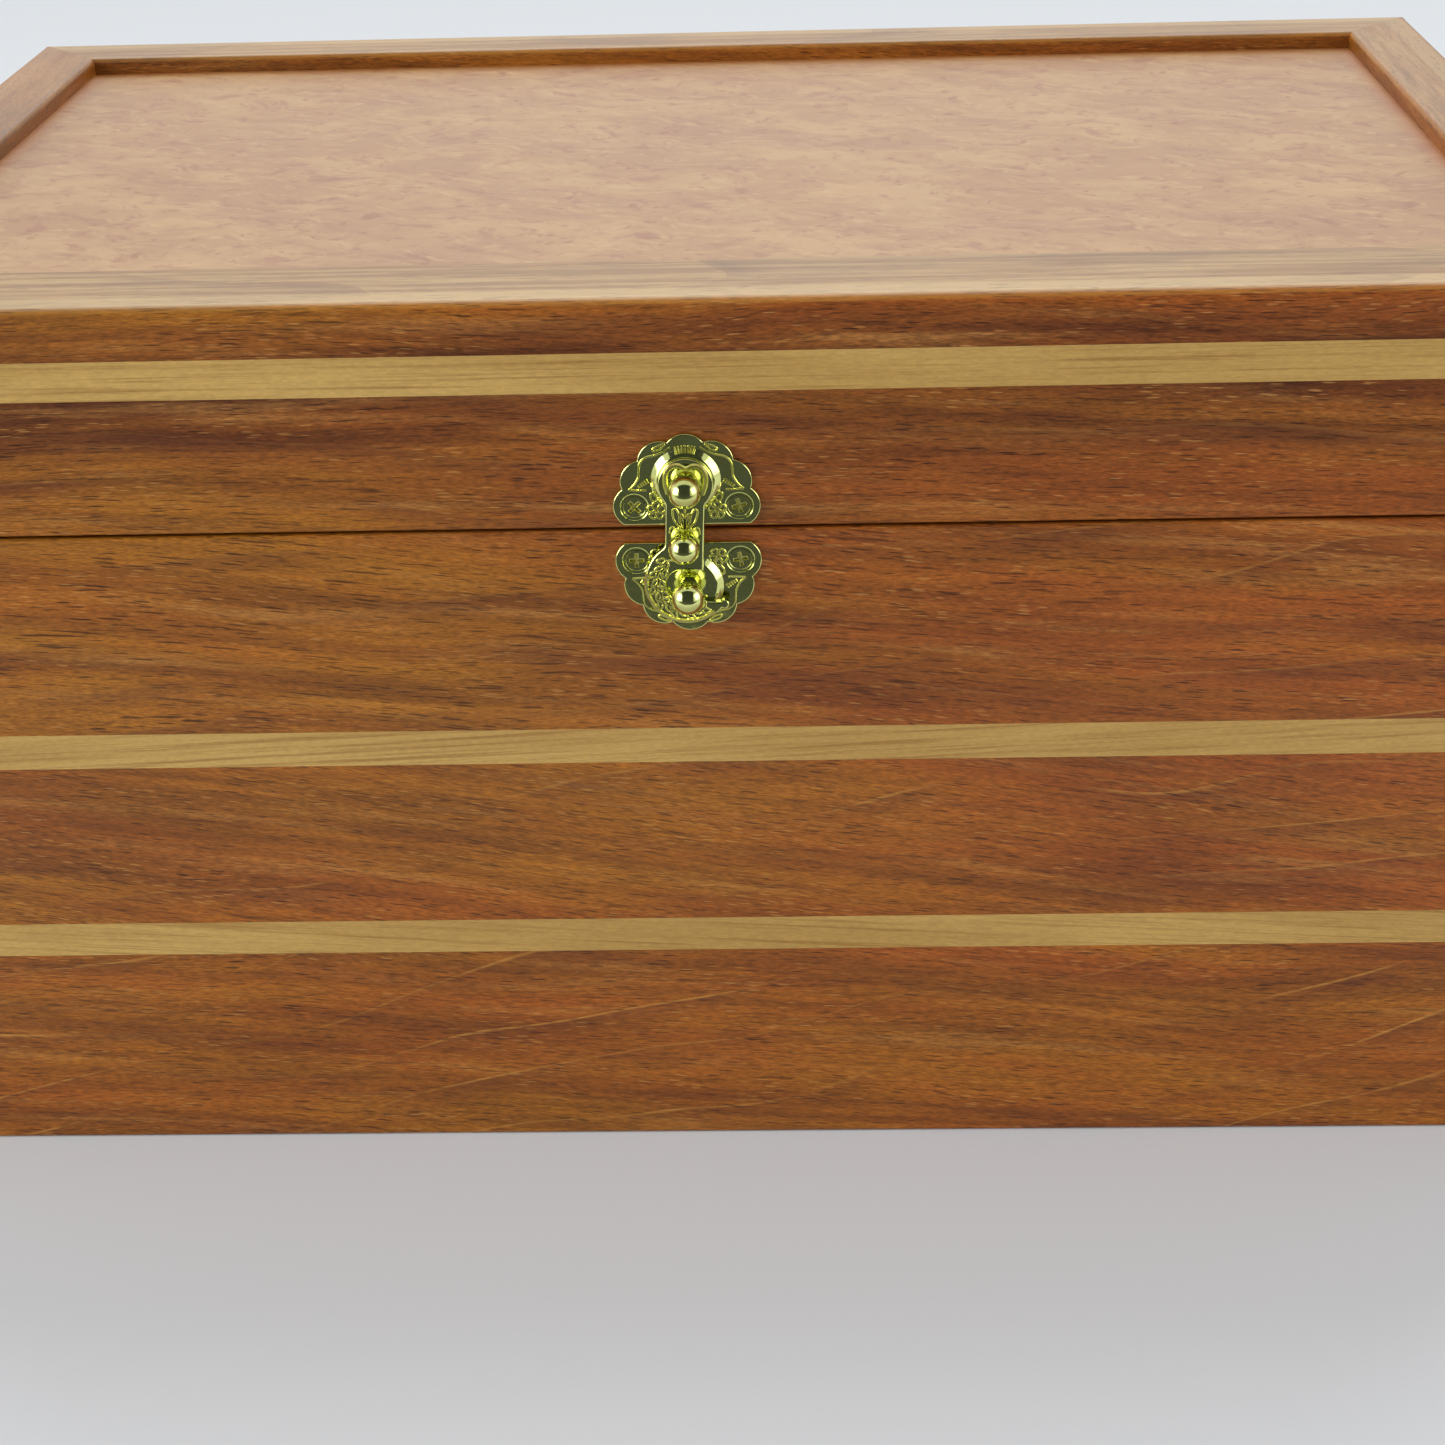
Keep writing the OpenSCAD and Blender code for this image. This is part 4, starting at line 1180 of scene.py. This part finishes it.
# A crown of two lobes stands round the pivot's ball
crown = [(False, [(-3.1, -1.6), (-3.7, 0.8), (-3.2, 3.1), (-1.7, 3.9), (0, 3.3), (1.7, 3.9), (3.2, 3.1),
                 (3.7, 0.8), (3.1, -1.6)])]
place = on_front(0, PIVOT_Z, ARM_FACE, tilt=TILT)
for part, strokes, radius in (("foliage", arm_lines, LINE_R), ("rim", rim, 0.45), ("crown", crown, 0.5)):
    finish_piece(
        raised_lines(strokes, radius), "latch_arm_" + part, "latch_arm", [], RELIEF_AND_PAINTED_BOUNCE,
        place, merge=LINE_MERGE,
    )
print("arm tilted by", round(TILT, 2), "degrees")

# %% [markdown]
# ## The room
#
# The box stands on a pale sheet, with a softbox on either side and light from all around. The
# floor gets its paleness from its own colour, and the lamps stay at a level at which a colour
# looks as it is written. The room lights at one level, and is brighter where it is seen
# directly or mirrored in varnish and metal.

# %% Floor and surroundings
def stand_in_room(mesh, name, material):
    """Puts up something that isn't part of the box."""
    data = bpy.data.meshes.new(name)
    mesh.to_mesh(data)
    mesh.free()
    data.materials.append(material)
    prop = into_scene(name, data)
    return prop


sheet = bmesh.new()
bmesh.ops.create_grid(sheet, x_segments=1, y_segments=1, size=12)
bmesh.ops.translate(sheet, verts=sheet.verts, vec=(0, 0, -0.1 * MM))
stand_in_room(sheet, "floor", new_material(
    "pale matt card", Base_Color=linear("#e6e9ec"), Roughness=0.9, Specular_IOR_Level=0.1,
))

world = bpy.data.worlds.new("pale room")
bpy.context.scene.world = world
world.use_nodes = True
room = world.node_tree.nodes["Background"]
room.inputs["Color"].default_value = linear("#f1f4f6")
LIT, SEEN, MIRRORED = 0.5, 0.8, 0.9
seen = add(world, "LightPath", {}, out="Is Camera Ray")
rays = seen.node.outputs
mirrored = add(world, "Math", {
    "operation": "MAXIMUM", 0: rays["Is Glossy Ray"], 1: rays["Is Transmission Ray"],
})
strength = LIT
for ray, level in ((seen, SEEN), (mirrored, MIRRORED)):
    strength = add(world, "Math", {"operation": "MULTIPLY_ADD", 0: ray, 1: level - LIT, 2: strength})
world.node_tree.links.new(strength, room.inputs["Strength"])
print("the room lights at", LIT, "and is seen at", SEEN)

# %% [markdown]
# The sky gives a broad soft light from the front. The softboxes are large and stand well back,
# and a grid over each keeps its light off the floor beside the box, which a lamp close by
# would bleach to white.

# %% Lamps
sky = bpy.data.lights.new("skylight", "SUN")
sky.energy, sky.angle = 1.6, math.radians(50)
into_scene("skylight", sky).rotation_euler = (math.radians(-42), 0, 0)

LATCH_PLACE = Vector((0, -BOX_D / 2, levels("latch_plate")[0]))
SOFTBOX_W, GRID_ANGLE = 1.7, math.radians(70)
for name, place, watts in (
    ("left softbox", (-2.25, -1.19, 0.82), 10), ("right softbox", (2.34, -0.88, 0.82), 4.4),
):
    lamp = bpy.data.lights.new(name, "AREA")
    lamp.size, lamp.energy, lamp.spread = SOFTBOX_W, watts, GRID_ANGLE
    stand = into_scene(name, lamp)
    stand.location = place
    stand.rotation_euler = (LATCH_PLACE - Vector(place)).to_track_quat("-Z", "Y").to_euler()

# %% [markdown]
# Bright metal looks like whatever surrounds it. In an evenly pale room a plated latch turns to
# flat cream, so a photographer stands a dark card behind the camera for it to reflect. Here
# the card bends up and over the camera, and only reflections see it: it is hidden from the
# camera and from the light that falls on the box.

# %% A dark card for the metal to reflect
CARD_FRONT, CARD_BEND, CARD_HALF_W = -0.36, -0.85, 0.6
felt = bmesh.new()
bmesh.ops.create_grid(felt, x_segments=1, y_segments=1, size=1)
for vert in felt.verts:
    vert.co = (vert.co.x * CARD_HALF_W, CARD_FRONT if vert.co.y > 0 else CARD_BEND, 2 * MM)
bent = [edge for edge in felt.edges if all(vert.co.y < CARD_FRONT - MM for vert in edge.verts)]
bmesh.ops.spin(
    felt, geom=bent, cent=(0, -0.1, 0.12), axis=(1, 0, 0), angle=math.radians(-80), steps=12,
)
black_felt = new_material("black felt on a card", Base_Color=linear("#404446"), Roughness=1)
card = stand_in_room(felt, "dark_card", black_felt)
card.visible_camera = card.visible_diffuse = card.visible_shadow = card.visible_transmission = False
print("card:", [round(side, 2) for side in card.dimensions], "m")

# %% [markdown]
# ## The camera
#
# A camera's place is worked out from the box's straight edges: it stands 60 cm in front,
# looks down by 25 degrees, and is turned and tipped a little. Its lens is given for a sensor
# 36 mm wide, which fills a square picture from side to side.

# %% Camera
EYE = Vector((0.0243, -0.6027, 0.3156))
PITCH, TURN, TIP = math.radians(24.92), math.radians(2.26), math.radians(-1.69)
camera_data = bpy.data.cameras.new("camera")
camera_data.sensor_width, camera_data.lens, camera_data.clip_start = 36, 68.61, 0.02
camera = into_scene("camera", camera_data)
level = Matrix.Rotation(TURN, 4, "Z") @ Matrix.Rotation(math.radians(90) - PITCH, 4, "X")
camera.matrix_world = Matrix.Translation(EYE) @ level @ Matrix.Rotation(TIP, 4, "Z")
bpy.context.scene.camera = camera
bpy.context.scene.view_settings.view_transform = "Standard"
print("the lens sees", round(math.degrees(camera_data.angle), 1), "degrees")

# %% [markdown]
# ## The end

# The looks may not make the box bigger than its solids.

# %% The end
bpy.context.view_layer.update()
